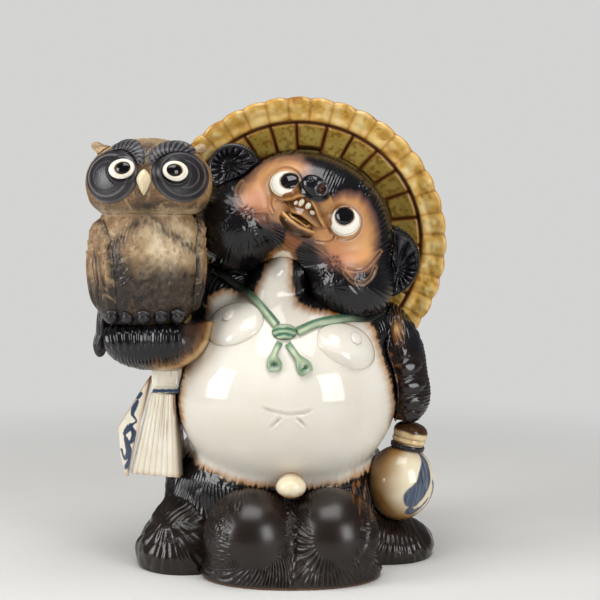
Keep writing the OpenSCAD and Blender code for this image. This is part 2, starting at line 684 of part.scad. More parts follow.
// The part of the trunk's left side that the ledger lies against
function trunk_side(y, z) = -leaves([-10, y, z], [-1, 0, 0], function (p) trunk(p), 0, 170) - 10;
function clear_side(p) = [min(p[0], trunk_side(p[1], p[2]) - joint_gap), p[1], p[2]];
function mix(a, b, t) = a + (b - a) * t;
module ledger_cover() {
  pts = [cover_d, cover_a, cover_b, cover_c];
  color([0.8, 0.78, 0.72]) translate(to_middle) polyhedron(
    concat([for (p = pts) p], [for (p = pts) p - cover_t * cover_out]),
    [[0, 2, 1], [0, 3, 2], [4, 5, 6], [4, 6, 7],
      for (i = [0:3]) let (j = (i + 1) % 4) each [[i, j, j + 4], [i, j + 4, i + 4]]]
  );
}
module ledger_pages() {
  inward = -(cover_t + joint_gap) * cover_out;
  levels = 5;
  rings = [for (i = [0:levels])
    let (t = i / levels, z = ledger_foot + ledger_h * t,
      s = (z - cover_d[2]) / (cover_a[2] - cover_d[2]),
      fl = mix(cover_d, cover_a, s) + inward + [1, 0, 0],
      bl = fl + mix([2, 26, 0], [3, 18, 0], t),
      fr = [mix(fl[0] + ledger_w, fl[0] + 24, t), mix(-66, -64, t), z],
      br = fr + mix([4, 34, 0], [2, 22, 0], t))
    [for (p = concat(
      [for (k = [0:2 * page_ribs]) mix([fl[0], fl[1], z], fr, k / (2 * page_ribs)) + [0, (k % 2) * rib_h, 0]],
      [br, [bl[0], bl[1], z]]
    )) clear_side(p)]];
  color([0.85, 0.8, 0.7]) closed(rings, middle(rings[0]), middle(rings[levels]));
}
tag_at = [-113, -52, ledger_foot + ledger_h + joint_gap];
module ledger_tag() {
  f = function (p) max(
    from_block(p - tag_at - [0, 0, tag_h], [15, 10, tag_h], 3),
    joint_gap - trunk(p), joint_gap - owl_arm_shape(p));
  color([0.86, 0.82, 0.73])
    lump(f, tag_at + [0, 0, 9], tag_at + [0, 0, 13], 3, 1, 3, 20);
}
module ledger_tie() {
  color([0.2, 0.25, 0.35]) translate(to_middle + tag_at + [0, -10 - 1.6, 3]) rotate([0, 90, 0])
    translate([0, 0, -14]) cylinder(r = 1.6, h = 24, $fn = 24);
}

module owl_body() {
  f = function (p) owl_shape(p);
  foot = [-130, -73, perch_z + joint_gap];
  top = [-130, -74, 292];
  casts = cast(f, foot, top, spine_rows(0, 0, 4, 6), turn(24));
  color([0.42, 0.33, 0.25])
    pot(skin(casts), skin(casts, owl_wall), pole(f, top, [0, 0, 1]), pole(f, top, [0, 0, 1], owl_wall));
}
module owl_head() {
  f = function (p) owl_head_shape(p);
  low = owl_head_at + [0, 0, -10];
  top = owl_head_at + [0, 0, 4];
  casts = cast(f, low, top, spine_rows(3, -48, 2, 5), turn(24));
  color([0.42, 0.33, 0.25])
    pot(skin(casts), skin(casts, owl_wall), pole(f, top, [0, 0, 1]), pole(f, top, [0, 0, 1], owl_wall));
}
disc_frames = [facing([-156, -107, 362], [-0.45, -1, 0.05]), facing([-93, -110, 363], [0.42, -1, 0.05])];
module disc(k) {
  color([0.2, 0.18, 0.18])
    sprig(function (p) owl_head_shape(p), disc_frames[k],
      function (t, a) [(1 - t) * oval(disc_r, disc_r - 4, a), slab(t, disc_t)], 3, 20);
}
module owl_disc_left() disc(0);
module owl_disc_right() disc(1);
owl_eye_from = [[16, 5], [-9, 2.5]];
owl_pupil_from = [[1.5, 1], [-1.5, 1.5]];
function shifted(f, d) = [f[0] + d[0] * f[1] + d[1] * f[2], f[1], f[2], f[3]];
module owl_eyes() {
  color([0.9, 0.87, 0.8])
    for (k = [0, 1])
      sprig(function (p) owl_head_shape(p), shifted(disc_frames[k], owl_eye_from[k] + owl_pupil_from[k]),
        function (t, a) eye_row(t, a, owl_pupil_from[k], owl_eye_r, owl_pupil_r, 3.5), 5, 16,
        function (x, y) disc_t + joint_gap);
}
module owl_pupils() {
  color([0.04, 0.03, 0.03])
    for (k = [0, 1])
      sprig(function (p) owl_head_shape(p), shifted(disc_frames[k], owl_eye_from[k] + owl_pupil_from[k]),
        function (t, a) [(1 - t) * owl_pupil_r, dome(t, 1.5)], 2, 12,
        function (x, y) disc_t + pupil_deep + 2 * joint_gap);
}
module owl_beak() {
  color([0.8, 0.74, 0.62])
    sprig(function (p) owl_head_shape(p), facing([-126, -118, 356], [0, -1, 0.1]),
      function (t, a) [(1 - t) * oval(6.5, beak_l / 2, a), dome(t, 8)], 4, 16);
}
// Over a disc the brows lie on it, elsewhere on the head
module owl_brows() {
  color([0.1, 0.09, 0.09])
    for (path = [[[-157, 386], [-148, 390], [-138, 388.5], [-131, 381], [-129, 371]],
      [[-120, 371], [-116, 381], [-107, 387.5], [-95, 388.5], [-84, 384]]])
      strip(function (p) owl_head_shape(p), curve(path, 6), -80,
        function (t) 4 + 6 * sin(180 * t), 3, disc_t - wide_gap);
}
module owl_tufts() {
  color([0.4, 0.3, 0.22])
    for (s = [-1, 1]) {
      b = s < 0 ? [-165, -75, 383] : [-89, -75, 381];
      t = b + [s * 10, 0, 7];
      set = [[b, [8, 8, 7]], [t, [4, 4, 3.5]]];
      lump(function (p) max(from_bulges(p, set, 3), joint_gap - owl_head_shape(p)),
        mix(b, t, 0.55), t, 2, 1, 3, 10);
    }
}
module owl_wing(frame, rx, rz, lean) {
  color([0.35, 0.27, 0.2])
    sprig(function (p) owl_shape(p), frame,
      function (t, a) [(1 - t) * oval(rx, rz, a - lean), slab(t, wing_t)], 4, 20,
      function (x, y) wide_gap);
}
module owl_wing_left() owl_wing(facing([-163, -94, 282], [-1, -0.8, 0]), 22, 42, 6);
module owl_wing_right() owl_wing(facing([-86, -70, 284], [1, -0.1, 0]), 21, 44, -4);
module owl_feet() {
  color([0.07, 0.06, 0.06])
    for (x = [-158, -143.5, -129, -114.5, -100]) {
      toe = [x, -107 + abs(x + 129) * 0.26, perch_z + 8.5];
      lump(function (p) max(from_bulge(p, [toe, [7, 9, 8]]), wide_gap - owl_shape(p),
        joint_gap - owl_arm_shape(p), perch_z + joint_gap - p[2]), toe + [0, -2, 0], toe + [0, -3, 0.5], 2, 1, 3, 8);
    }
}
module owl_tail() {
  b = [-170, -50, perch_z + 14];
  t = [-177, -52, perch_z - owl_tail_l * 0.7];
  set = [[b, [6, 8, 12]], [mix(b, t, 0.5), [6, 8, 16]], [t, [5.5, 7, owl_tail_l * 0.3]]];
  color([0.08, 0.07, 0.07])
    lump(function (p) max(from_bulges(p, set, 3), joint_gap - owl_shape(p), joint_gap - owl_arm_shape(p)),
      mix(b, t, 0.75), mix(b, t, 0.3), 3, 3, 3, 14);
}

trunk_front();
trunk_back();
tail();
pouch();
knob();
breast_left();
breast_right();
nipples();
cord_left();
cord_right();
cord_knot();
cord_ends();
head();
ear_left();
ear_right();
muzzle();
lower_jaw();
nose();
teeth();
eye_left();
eye_right();
pupils();
hat();
owl_arm();
flask_arm();
flask_body();
flask_collar();
flask_band();
ledger_pages();
ledger_cover();
ledger_tag();
ledger_tie();
owl_body();
owl_head();
owl_disc_left();
owl_disc_right();
owl_eyes();
owl_pupils();
owl_beak();
owl_brows();
owl_tufts();
owl_wing_left();
owl_wing_right();
owl_feet();
owl_tail();
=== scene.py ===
import math

import bpy
import numpy as np
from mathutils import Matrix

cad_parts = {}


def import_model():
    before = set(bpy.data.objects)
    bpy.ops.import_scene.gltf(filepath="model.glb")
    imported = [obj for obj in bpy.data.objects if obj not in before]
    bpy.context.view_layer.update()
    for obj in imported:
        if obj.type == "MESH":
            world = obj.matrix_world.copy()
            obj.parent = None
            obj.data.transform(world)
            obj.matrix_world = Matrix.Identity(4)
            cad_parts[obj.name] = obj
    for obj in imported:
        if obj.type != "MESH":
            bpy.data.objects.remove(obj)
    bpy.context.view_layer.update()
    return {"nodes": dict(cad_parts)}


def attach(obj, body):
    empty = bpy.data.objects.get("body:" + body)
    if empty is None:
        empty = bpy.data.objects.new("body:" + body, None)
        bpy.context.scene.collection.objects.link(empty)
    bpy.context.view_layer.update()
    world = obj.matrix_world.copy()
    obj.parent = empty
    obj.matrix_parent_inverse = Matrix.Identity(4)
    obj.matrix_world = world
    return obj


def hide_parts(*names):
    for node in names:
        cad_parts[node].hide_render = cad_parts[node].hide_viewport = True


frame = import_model()
print("frame loaded", len(frame["nodes"]), "nodes")

# The figure is worked out in millimetres from the middle of its foot: x to the viewer's right,
# y away from the viewer, z up. toMiddle brings it to the frame's origin.
toMiddle = np.array([15.37, 16.53, 0.0])
seed = 7


# Shapes as distances


def vec(*v):
    return np.array(v, float)


def unit(v):
    return v / np.linalg.norm(v)


def length(v):
    return np.sqrt((v * v).sum(-1))


# An origin and three axes; local measures a point along the axes, world goes back
def axesFrame(origin, *axes):
    return vec(*origin), np.array([unit(vec(*a)) for a in axes])


def local(p, f):
    return (p - f[0]) @ f[1].T


def world(q, f):
    return f[0] + q @ f[1]


# A frame at a point that faces along n, its second axis as near to +Z as it can be
def facing(at, n):
    w = unit(vec(*n))
    u = unit(np.cross(vec(0, 0, 1), w))
    return vec(*at), np.array([u, np.cross(w, u), w])


# Distance from one ellipsoid, negative inside: |q| (|q| - 1) / |q / r| with q the point over the radii
def fromBulge(p, bulge):
    middle, radii = bulge
    q = (p - vec(*middle)) / vec(*radii)
    n = length(q)
    return n * (n - 1) / np.maximum(length(q / vec(*radii)), 1e-6)


# Ellipsoids that run into each other: minus k times the log of the sum of exp(-distance / k)
def fromBulges(p, bulges, k=5.0):
    return -k * np.log(sum(np.exp(-np.clip(fromBulge(p, b), -300, 300) / k) for b in bulges))


# Distance from a box with rounded edges, about its own middle
def fromBlock(q, half, rounding):
    e = np.abs(q) - vec(*half) + rounding
    return length(np.maximum(e, 0)) + np.minimum(e.max(-1), 0) - rounding


trunkParts = dict(
    bulges=[
        ((-3, -39, 156), (104, 86, 86)), ((6, -26, 216), (88, 58, 42)),
        ((-62, -6, 248), (38, 36, 36)), ((73, -4, 214), (30, 38, 38)),
        ((-18, -28, 248), (24, 42, 36)), ((0, -26, 272), (20, 42, 26)),
        ((-12, 4, 62), (110, 96, 80)), ((0, 2, 14), (114, 99, 54)),
        ((-97, -48, 10), (48, 52, 36)), ((-100, -42, 30), (32, 46, 30)), ((97, -14, 8), (43, 50, 28)),
    ],
    wall=8, axisTop=190)
pouchParts = dict(
    bulges=[((-34, -98, 38), (43, 47, 42)), ((38, -98, 38), (43, 47, 42)), ((2, -94, 6), (82, 52, 30))],
    knob=[((2, -109, 84), (13.5, 12.5, 10)), ((2, -95, 87), (10.5, 15, 8.5))], wall=7)
headParts = dict(
    at=(17.7, -10, 316.6), tilt=32.3, wall=7,
    bulges=[((4, 8, 0), (78, 64, 66)), ((-54, -35, 14), (42, 45, 60)),
            ((60, -26, 14), (45, 43, 60)), ((-9, 6, 60), (30, 26, 14))],
    muzzle=[((-9, 23, 82), (20, 12, 20)), ((-9, 12, 74), (26, 9, 14)), ((-13, 27, 92), (15, 12, 16))],
    jaw=[((-10, -4, 78), (18, 9, 16))], nose=[((-15, 33, 105), (12.5, 9.5, 8))])
hatParts = dict(at=(9.5, 15, 297), lean=10, radius=145, brim=25, depth=45, slope=0.36, thick=7)
flaskParts = dict(at=(105, -36, 73), lean=12, radius=33, halfHeight=36, neck=14, neckZ=32, collarZ=39,
                  collarR=16.5, collarH=20, wall=5)
armParts = dict(
    owl=[((-70, -8, 246), (34, 34, 36)), ((-98, -40, 220), (36, 34, 32)), ((-124, -74, 212), (46, 38, 26))],
    flask=[((84, -8, 214), (33, 36, 32)), ((104, -18, 187), (27, 34, 34)), ((110, -35, 156), (25, 26, 28))],
    perchZ=229)
owlParts = dict(
    body=[((-130, -75, 282), (50, 46, 58)), ((-132, -73, 252), (44, 35, 36)),
          ((-129, -75, 316), (46, 40, 30))],
    head=[((-127, -75, 359), (57, 46, 38)), ((-127, -75, 343), (51, 42, 24))], neckZ=328, wall=6)

tilt = math.radians(headParts["tilt"])
headFrame = axesFrame(headParts["at"], (math.cos(tilt), 0, -math.sin(tilt)),
                      (math.sin(tilt), 0, math.cos(tilt)), (0, -1, 0))
lean = math.radians(hatParts["lean"])
hatFrame = axesFrame(hatParts["at"], (1, 0, 0), (0, -math.sin(lean), math.cos(lean)),
                     (0, -math.cos(lean), -math.sin(lean)))
lean = math.radians(flaskParts["lean"])
flaskFrame = axesFrame(flaskParts["at"], (math.cos(lean), 0, -math.sin(lean)), (0, 1, 0),
                       (math.sin(lean), 0, math.cos(lean)))


# Depth of the hat's front face behind its rim: a straight slope over the brim, then a cubic dish
def hatFace(r):
    h = hatParts
    inner = h["radius"] - h["brim"]
    dish = h["depth"] - (h["depth"] - h["brim"] * h["slope"]) * (r / inner) ** 3
    return np.where(r > inner, (h["radius"] - r) * h["slope"], dish)


# Distance from the hat, taken as solid from its face backwards, negative inside
def hatShape(p):
    q = local(p, hatFrame)
    r = length(q[..., :2])
    return np.maximum(q[..., 2] + hatFace(r), r - (hatParts["radius"] + 1))


def flaskShape(p):
    f = flaskParts
    q = local(p, flaskFrame)
    top = f["collarZ"] + f["collarH"]
    high = np.abs(q[..., 2] - (f["neckZ"] + top) / 2) - (top - f["neckZ"]) / 2
    neck = np.maximum(length(q[..., :2]) - f["collarR"], high)
    return np.minimum(fromBulge(q, ((0, 0, 0), (f["radius"], f["radius"], f["halfHeight"]))), neck)


seam = 0.4  # slip between two luted pieces


# A body with others cut out of it, the slip left between them
def less(p, body, *others):
    return np.maximum.reduce([body, *(seam - other(p) for other in others)])


def trunkShape(p):
    return np.maximum(less(p, fromBulges(p, trunkParts["bulges"]), flaskShape), 1 - hatShape(p))


# The head's own coordinates of each point: across, up, and out of the face
def onFace(p):
    return np.moveaxis(local(p, headFrame), -1, 0)


def skull(p):
    return fromBulges(local(p, headFrame), headParts["bulges"])


def headShape(p):
    return less(p, skull(p), trunkShape, hatShape)


def muzzleField(p):
    return fromBulges(local(p, headFrame), headParts["muzzle"], 3)


def knobShape(p):
    return fromBulges(p, pouchParts["knob"], 2)


def pouchShape(p):
    return np.maximum(less(p, fromBulges(p, pouchParts["bulges"]), trunkShape), 2.5 - knobShape(p))


def owlArmShape(p):
    arm = np.maximum(fromBulges(p, armParts["owl"], 8), p[..., 2] - armParts["perchZ"])
    return less(p, arm, trunkShape, skull, hatShape)


def flaskArmShape(p):
    return less(p, fromBulges(p, armParts["flask"], 8), trunkShape, skull, flaskShape, hatShape)


def owlShape(p):
    return np.maximum(fromBulges(p, owlParts["body"]), p[..., 2] - owlParts["neckZ"] + 0.2)


def owlHeadShape(p):
    return np.maximum(fromBulges(p, owlParts["head"]), owlParts["neckZ"] - p[..., 2])


# Grids


# Distance along each ray at which it leaves a shape, by halving the span that holds it
def leaves(o, d, shape, near=0.0, far=210.0, steps=15):
    o, d = np.broadcast_arrays(o, d)
    low = np.full(o.shape[:-1], float(near))
    high = np.full(o.shape[:-1], float(far))
    for _ in range(steps):
        middle = (low + high) / 2
        inside = shape(o + middle[..., None] * d) < 0
        low = np.where(inside, middle, low)
        high = np.where(inside, high, middle)
    return (low + high) / 2


# Outward direction of a shape at each point: its differences over a small step along x, y and z
def normalsOf(shape, p, step=0.6):
    n = np.stack([shape(p + step * e) - shape(p - step * e) for e in np.eye(3)], -1)
    return n / np.maximum(length(n), 1e-9)[..., None]


# Points where rays from a spine leave a shape. spans has (share of the spine, elevation) rows,
# angles the turns round the spine, both in degrees
def castSpine(shape, base, tip, spans, angles):
    base, tip = vec(*base), vec(*tip)
    w = unit(tip - base) if length(tip - base) > 0 else vec(0, 0, 1)
    v = unit(np.cross(w, vec(1, 0, 0)))
    u = np.cross(v, w)
    s, e = np.array(spans, float).T
    a, e = np.radians(angles), np.radians(e)
    ring = np.cos(a)[:, None] * u + np.sin(a)[:, None] * v
    d = np.cos(e)[:, None, None] * ring[None] + np.sin(e)[:, None, None] * w
    o = (base + s[:, None] * (tip - base))[:, None, :] + 0 * d
    return o + leaves(o, d, shape)[..., None] * d


def poleOf(shape, at, d):
    return vec(*at) + leaves(vec(*at), unit(vec(*d)), shape) * unit(vec(*d))


def rowsOver(low, high, step):
    n = max(int(round(abs(high - low) / step)), 1)
    return np.linspace(low, high, n + 1)


# Rows of a closed lump on the spine base-tip, its poles left out
def lumpSpans(step, side=2):
    n = int(90 / step)
    return ([(0, -90 + 90 * i / n) for i in range(1, n)] + [(i / side, 0) for i in range(side + 1)]
            + [(1, 90 * i / n) for i in range(1, n)])


# Quads between neighbouring rows and columns of a numbered grid, the columns closing if wrap is on
def quads(rows, cols, start=0, wrap=True, flip=False):
    i, j = np.meshgrid(np.arange(rows - 1), np.arange(cols if wrap else cols - 1), indexing="ij")
    k = (j + 1) % cols
    near, far = start + i * cols, start + (i + 1) * cols
    corners = [near + j, near + k, far + k, far + j]
    q = np.stack(corners[::-1] if flip else corners, -1).reshape(-1, 4)
    return q.tolist()


def fan(ring, pole, flip=False):
    pairs = zip(ring, ring[1:] + ring[:1])
    return [(b, a, pole) if flip else (a, b, pole) for a, b in pairs]


# A piece of the figure: its points go to metres, its values per point become attributes. A closed
# mesh whose volume comes out negative is inside out, so its faces are turned
def addPiece(name, points, faces, material, node, values):
    mesh = bpy.data.meshes.new(name)
    mesh.from_pydata(((points + toMiddle) * 0.001).tolist(), [], faces)
    for key, v in values.items():
        attribute = mesh.attributes.new(key, "FLOAT", "POINT")
        attribute.data.foreach_set("value", clamp(v).ravel().astype(np.float32))
    mesh.polygons.foreach_set("use_smooth", [True] * len(mesh.polygons))
    mesh.materials.append(material)
    mesh.update()
    piece = bpy.data.objects.new(name, mesh)
    bpy.context.collection.objects.link(piece)
    mesh.calc_loop_triangles()
    corners = np.empty(len(mesh.loop_triangles) * 3, int)
    mesh.loop_triangles.foreach_get("vertices", corners)
    t = points[corners.reshape(-1, 3)] - points.mean(0)
    if (t[:, 0] * np.cross(t[:, 1], t[:, 2])).sum() < 0:
        mesh.flip_normals()
    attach(piece, "root")
    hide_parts(node)
    return piece


# A closed grid with a pole at each end
def closedGrid(grid, low, high):
    rows, cols = grid.shape[:2]
    n = rows * cols
    points = np.concatenate([grid.reshape(-1, 3), [low, high]])
    first, last = list(range(cols)), list(range(n - cols, n))
    return points, quads(rows, cols) + fan(first, n, True) + fan(last, n + 1)


def withPoles(values, rows, cols):
    def grown(v):
        v = np.broadcast_to(v, (rows, cols))
        return np.concatenate([v.ravel(), [v[0].mean(), v[-1].mean()]])
    return {k: grown(v) for k, v in values.items()}


# Patterns

lattice = np.random.default_rng(seed).random((32, 32, 32)) * 2 - 1


# Smooth random values from -1 to 1: a lattice of that many millimetres, blended between its corners
def noise(p, size, shift=0.0):
    q = p / size + shift
    i = np.floor(q).astype(int)
    f = q - i
    f = f * f * (3 - 2 * f)
    i %= 32
    total = 0
    for corner in range(8):
        bit = [(corner >> k) & 1 for k in range(3)]
        weight = 1
        for k in range(3):
            weight = weight * (f[..., k] if bit[k] else 1 - f[..., k])
        total = total + weight * lattice[tuple((i[..., k] + bit[k]) % 32 for k in range(3))]
    return total


def smoothStep(low, high, v):
    t = clamp((v - low) / (high - low))
    return t * t * (3 - 2 * t)


def hill(v, width):
    return np.exp(-(v / width) ** 2)


def clamp(v):
    return np.clip(v, 0, 1)


# The noise over u and v, which are given in widths and lengths of a brush stroke
def brushed(u, v, w=0.0, shift=0.0):
    return noise(np.stack(np.broadcast_arrays(u, v, w), -1), 1.0, shift)


# Combed clay, from 0 in a groove to 1 on a crest. across and along are millimetres over and along the
# strokes; each stroke wanders with the noise and fades in and out along its length
def combed(across, along, width, stroke, shift=0.0, wander=0.5):
    w = across / width + wander * brushed(across / (width * 4), along / stroke, shift)
    lane = np.floor(w)
    crest = 1 - np.abs(2 * (w - lane) - 1) ** 1.6
    offset = (np.sin(lane * 12.9898 + shift) * 43758.5453) % 1
    fade = np.abs(np.sin(np.pi * (along / stroke + offset))) ** 0.6
    return crest * (0.35 + 0.65 * fade)


# Signed distance in the plane from a closed outline, negative inside, and the run along it
def fromOutline(x, z, outline):
    pts = np.array(outline, float)
    best, along = fromLine(x, z, [*outline, outline[0]])
    inside = np.zeros(np.shape(x), bool)
    for a, b in zip(pts, np.roll(pts, -1, 0)):
        e = b - a
        crosses = ((a[1] > z) != (b[1] > z)) & (x < e[0] * (z - a[1]) / (e[1] if e[1] else 1e-9) + a[0])
        inside ^= crosses
    return np.where(inside, -best, best), along


# Distance from an open line of points, and how far along it the nearest point is
def fromLine(x, z, line):
    pts = np.array(line, float)
    best, along, run = np.full(np.shape(x), 1e9), np.zeros(np.shape(x)), 0.0
    for a, b in zip(pts[:-1], pts[1:]):
        e = b - a
        size = math.sqrt(e @ e)
        t = clamp(((x - a[0]) * e[0] + (z - a[1]) * e[1]) / (e @ e))
        d = np.hypot(x - a[0] - t * e[0], z - a[1] - t * e[1])
        along = np.where(d < best, run + t * size, along)
        best = np.minimum(best, d)
        run += size
    return best, along


# Finishes


# An sRGB hex colour as linear light
def colour(hexValue):
    c = np.array([int(hexValue[k:k + 2], 16) for k in (1, 3, 5)]) / 255
    c = np.where(c <= 0.04045, c / 12.92, ((c + 0.055) / 1.055) ** 2.4)
    return (*c.tolist(), 1.0)


# Adds one node; inputs holds socket values or other nodes' outputs, settings the node's own options
def addNode(tree, kind, inputs=None, **settings):
    node = tree.nodes.new("ShaderNode" + kind)
    for key, value in settings.items():
        setattr(node, key, value)
    for key, value in (inputs or {}).items():
        if isinstance(value, bpy.types.NodeSocket):
            tree.links.new(value, node.inputs[key])
        else:
            node.inputs[key].default_value = value
    return node


# One layer of glaze: the attribute that says where it lies, its two tones and its roughness
def coat(mask, first, second, rough):
    return dict(mask=mask, tones=(first, second), rough=rough)


# A fired surface, in this order: two tones that drift into each other over drift millimetres; specks,
# as (hex, spot size in mm, share of the surface, strength); scores, thin veins scratched in the clay,
# as (hex, stretch along x, y and z, size in mm, half width, strength, slant in radians); then the
# layers of glaze, each where its attribute says. peel is the waviness, as (size in mm, strength)
def firedFinish(name, tones, drift=40, rough=0.12, layers=(), specks=(), peel=(2.5, 0.12), scores=()):
    material = bpy.data.materials.new(name)
    material.use_nodes = True
    tree = material.node_tree
    tree.nodes.clear()
    where = addNode(tree, "TexCoord").outputs["Object"]
    cloud = addNode(tree, "TexNoise", {"Vector": where, "Scale": 1000 / drift, "Detail": 4.0}).outputs["Fac"]
    cloud = addNode(tree, "MapRange", {"Value": cloud, "From Min": 0.35, "From Max": 0.65}).outputs[0]
    mixed = {0: cloud, 6: colour(tones[0]), 7: colour(tones[1])}
    shade = addNode(tree, "Mix", mixed, data_type="RGBA").outputs[2]
    for tone, size, share, strength in specks:
        spots = addNode(tree, "TexNoise", {"Vector": where, "Scale": 1000 / size, "Detail": 2.0,
                                           "Roughness": 0.6}).outputs["Fac"]
        low = 0.78 - 0.4 * share
        spots = addNode(tree, "MapRange", {"Value": spots, "From Min": low, "From Max": low + 0.08,
                                           "To Max": strength}).outputs[0]
        shade = addNode(tree, "Mix", {0: spots, 6: shade, 7: colour(tone)}, data_type="RGBA").outputs[2]
    wave = addNode(tree, "TexNoise", {"Vector": where, "Scale": 1000 / peel[0], "Detail": 3.0}).outputs["Fac"]
    for tone, stretch, size, half, strength, slant in scores:
        stretched = addNode(tree, "Mapping", {"Vector": where, "Scale": stretch,
                                              "Rotation": (0.0, slant, 0.0)}).outputs[0]
        line = addNode(tree, "TexNoise", {"Vector": stretched, "Scale": 1000 / size, "Detail": 2.0,
                                          "Distortion": 0.6}).outputs["Fac"]
        off = addNode(tree, "Math", {0: line, 1: 0.5}, operation="SUBTRACT").outputs[0]
        off = addNode(tree, "Math", {0: off}, operation="ABSOLUTE").outputs[0]
        line = addNode(tree, "MapRange", {"Value": off, "From Min": half, "From Max": 0.0,
                                          "To Max": strength}).outputs[0]
        shade = addNode(tree, "Mix", {0: line, 6: shade, 7: colour(tone)}, data_type="RGBA").outputs[2]
        wave = addNode(tree, "Math", {0: wave, 1: line}, operation="SUBTRACT").outputs[0]
    roughness = rough
    for layer in layers:
        mask = addNode(tree, "Attribute", attribute_name=layer["mask"]).outputs["Fac"]
        mixed = {0: cloud, 6: colour(layer["tones"][0]), 7: colour(layer["tones"][1])}
        paint = addNode(tree, "Mix", mixed, data_type="RGBA").outputs[2]
        shade = addNode(tree, "Mix", {0: mask, 6: shade, 7: paint}, data_type="RGBA").outputs[2]
        mixed = {0: mask, 2: roughness, 3: layer["rough"]}
        roughness = addNode(tree, "Mix", mixed, data_type="FLOAT").outputs[0]
    bump = addNode(tree, "Bump", {"Height": wave, "Strength": peel[1], "Distance": 0.0006}).outputs[0]
    surface = addNode(tree, "BsdfPrincipled", {"Base Color": shade, "Roughness": roughness, "IOR": 1.45,
                                               "Normal": bump})
    addNode(tree, "OutputMaterial", {"Surface": surface.outputs[0]})
    return material


# Transparent lead-free glaze over white slip, iron-black glaze brushed over combed fur: the black is
# glossy and bluish, thins to amber where it meets the white, and turns satin brown towards the foot
blackLayers = [
    coat("amber", "#B27A26", "#8A5414", 0.12),
    coat("fur", "#0A090C", "#131115", 0.17),
    coat("brown", "#1A120E", "#221914", 0.24),
    coat("streak", "#B8763A", "#8E5326", 0.2),
]
bodyGlaze = firedFinish("bodyGlaze", ("#DED9CE", "#D6CFC2"), 70, 0.08, blackLayers, peel=(9, 0.05))
creamGlaze = firedFinish("creamGlaze", ("#EDE6D4", "#DFD3B8"), 18, 0.08, [blackLayers[0]], peel=(6, 0.05))

print("finishes ready")


# Trunk

# Outline of the white front, seen from the front as (x, z)
whiteFront = [(-101, 137), (-101, 156), (-97, 177), (-92, 195), (-86, 208), (-78, 223), (-78, 240),
              (-75, 250), (-63, 257), (-50, 255), (-36, 252), (-31, 257), (-25, 272), (-18, 288), (-11, 297),
              (-1, 298), (2, 284), (2, 264), (7, 247), (24, 240), (51, 237), (70, 232), (79, 221), (83, 206),
              (88, 191), (94, 170), (98, 151), (97, 125), (84, 91), (48, 80), (1, 79), (-45, 83), (-83, 93),
              (-103, 106)]
trunkRelief = dict(combDepth=1.6, combWidth=4.4, navel=3.0)
navelLines = [[(-26, 159), (-16, 155), (-1, 152), (13, 153), (24, 157)], [(-4, 151), (-10, 146), (-18, 138)],
              [(4, 151), (10, 146), (18, 138)]]


# How the glazes lie on the trunk: fur outside the white front with an amber edge whose strokes reach
# inwards, brown low down, amber streaks above the flask's side of the pouch
def trunkPaint(p):
    x, y, z = np.moveaxis(p, -1, 0)
    d, along = fromOutline(x, z, whiteFront)
    d = np.where(y > -2, np.maximum(d, 12), d)
    strokes = brushed(along / 1.6, d / 9) + 0.5 * noise(p, 2.2)
    edge = d + (1.2 + 1.1 * smoothStep(112, 96, z)) * strokes
    fur = smoothStep(-0.5, 2.5, edge)
    amber = smoothStep(-10, 0.5, d + 1.3 * strokes) ** 1.8 * (0.8 + 0.2 * noise(p, 14, 4.0))
    brown = fur * (1 - smoothStep(38, 78, z + 6 * noise(p, 25)))
    streak = smoothStep(0.25, 0.6, brushed(x / 1.6, z / 7)) * hill(length(p - vec(76, -78, 70)), 26)
    return d, along, dict(fur=fur, amber=amber, brown=brown, streak=streak * 0.9)


# Combed fur: vertical strokes on the hips, strokes along the white front's edge, tufts that fan out
# over the feet; the navel is pressed in along its lines
def trunkHeight(p, d, along, fur):
    x, y, z = np.moveaxis(p, -1, 0)
    r = trunkRelief
    turn = np.arctan2(x + 3, -(y + 12))
    hips = combed(turn * 112 + 0.16 * z, z, r["combWidth"], 30, 1.0, 0.9)
    edge = combed(d, along, 3.0, 22, 2.0, 0.8)
    leftFan = np.arctan2(x + 112, -(z - 52) + 0.25 * np.abs(x + 112))
    rightFan = np.arctan2(x - 100, -(z - 62))
    leftFoot = combed(leftFan * 30, length(p - vec(-112, -50, 50)), 5.6, 24, 3.0)
    rightFoot = combed(rightFan * 42, z, 5.0, 22, 4.0)
    atEdge = hill(d - 5, 7) * (z < 110)
    feet = smoothStep(52, 38, z)
    atLeft, atRight = feet * smoothStep(-60, -75, x), feet * smoothStep(70, 84, x)
    comb = hips * (1 - atEdge) + edge * atEdge
    comb = comb * (1 - atLeft) + leftFoot * atLeft
    comb = comb * (1 - atRight) + rightFoot * atRight
    tufts = 1.0 * noise(p, 9, 3.1) * (atLeft + atRight)
    height = fur * ((comb - 0.6) * r["combDepth"] + tufts)
    for line in navelLines:
        far, run = fromLine(x, z, line)
        smile = line is navelLines[0]
        end = length(vec(*line[-1]) - vec(*line[0])) + 1
        taper = smoothStep(0, 9, run) * smoothStep(end, 40 if smile else 6, run)
        lip = (0.5 if smile else 0.8) * hill(far - 2.4, 1.6)
        height = height + (y < -60) * taper * (lip - r["navel"] * hill(far, 1.3))
    return height


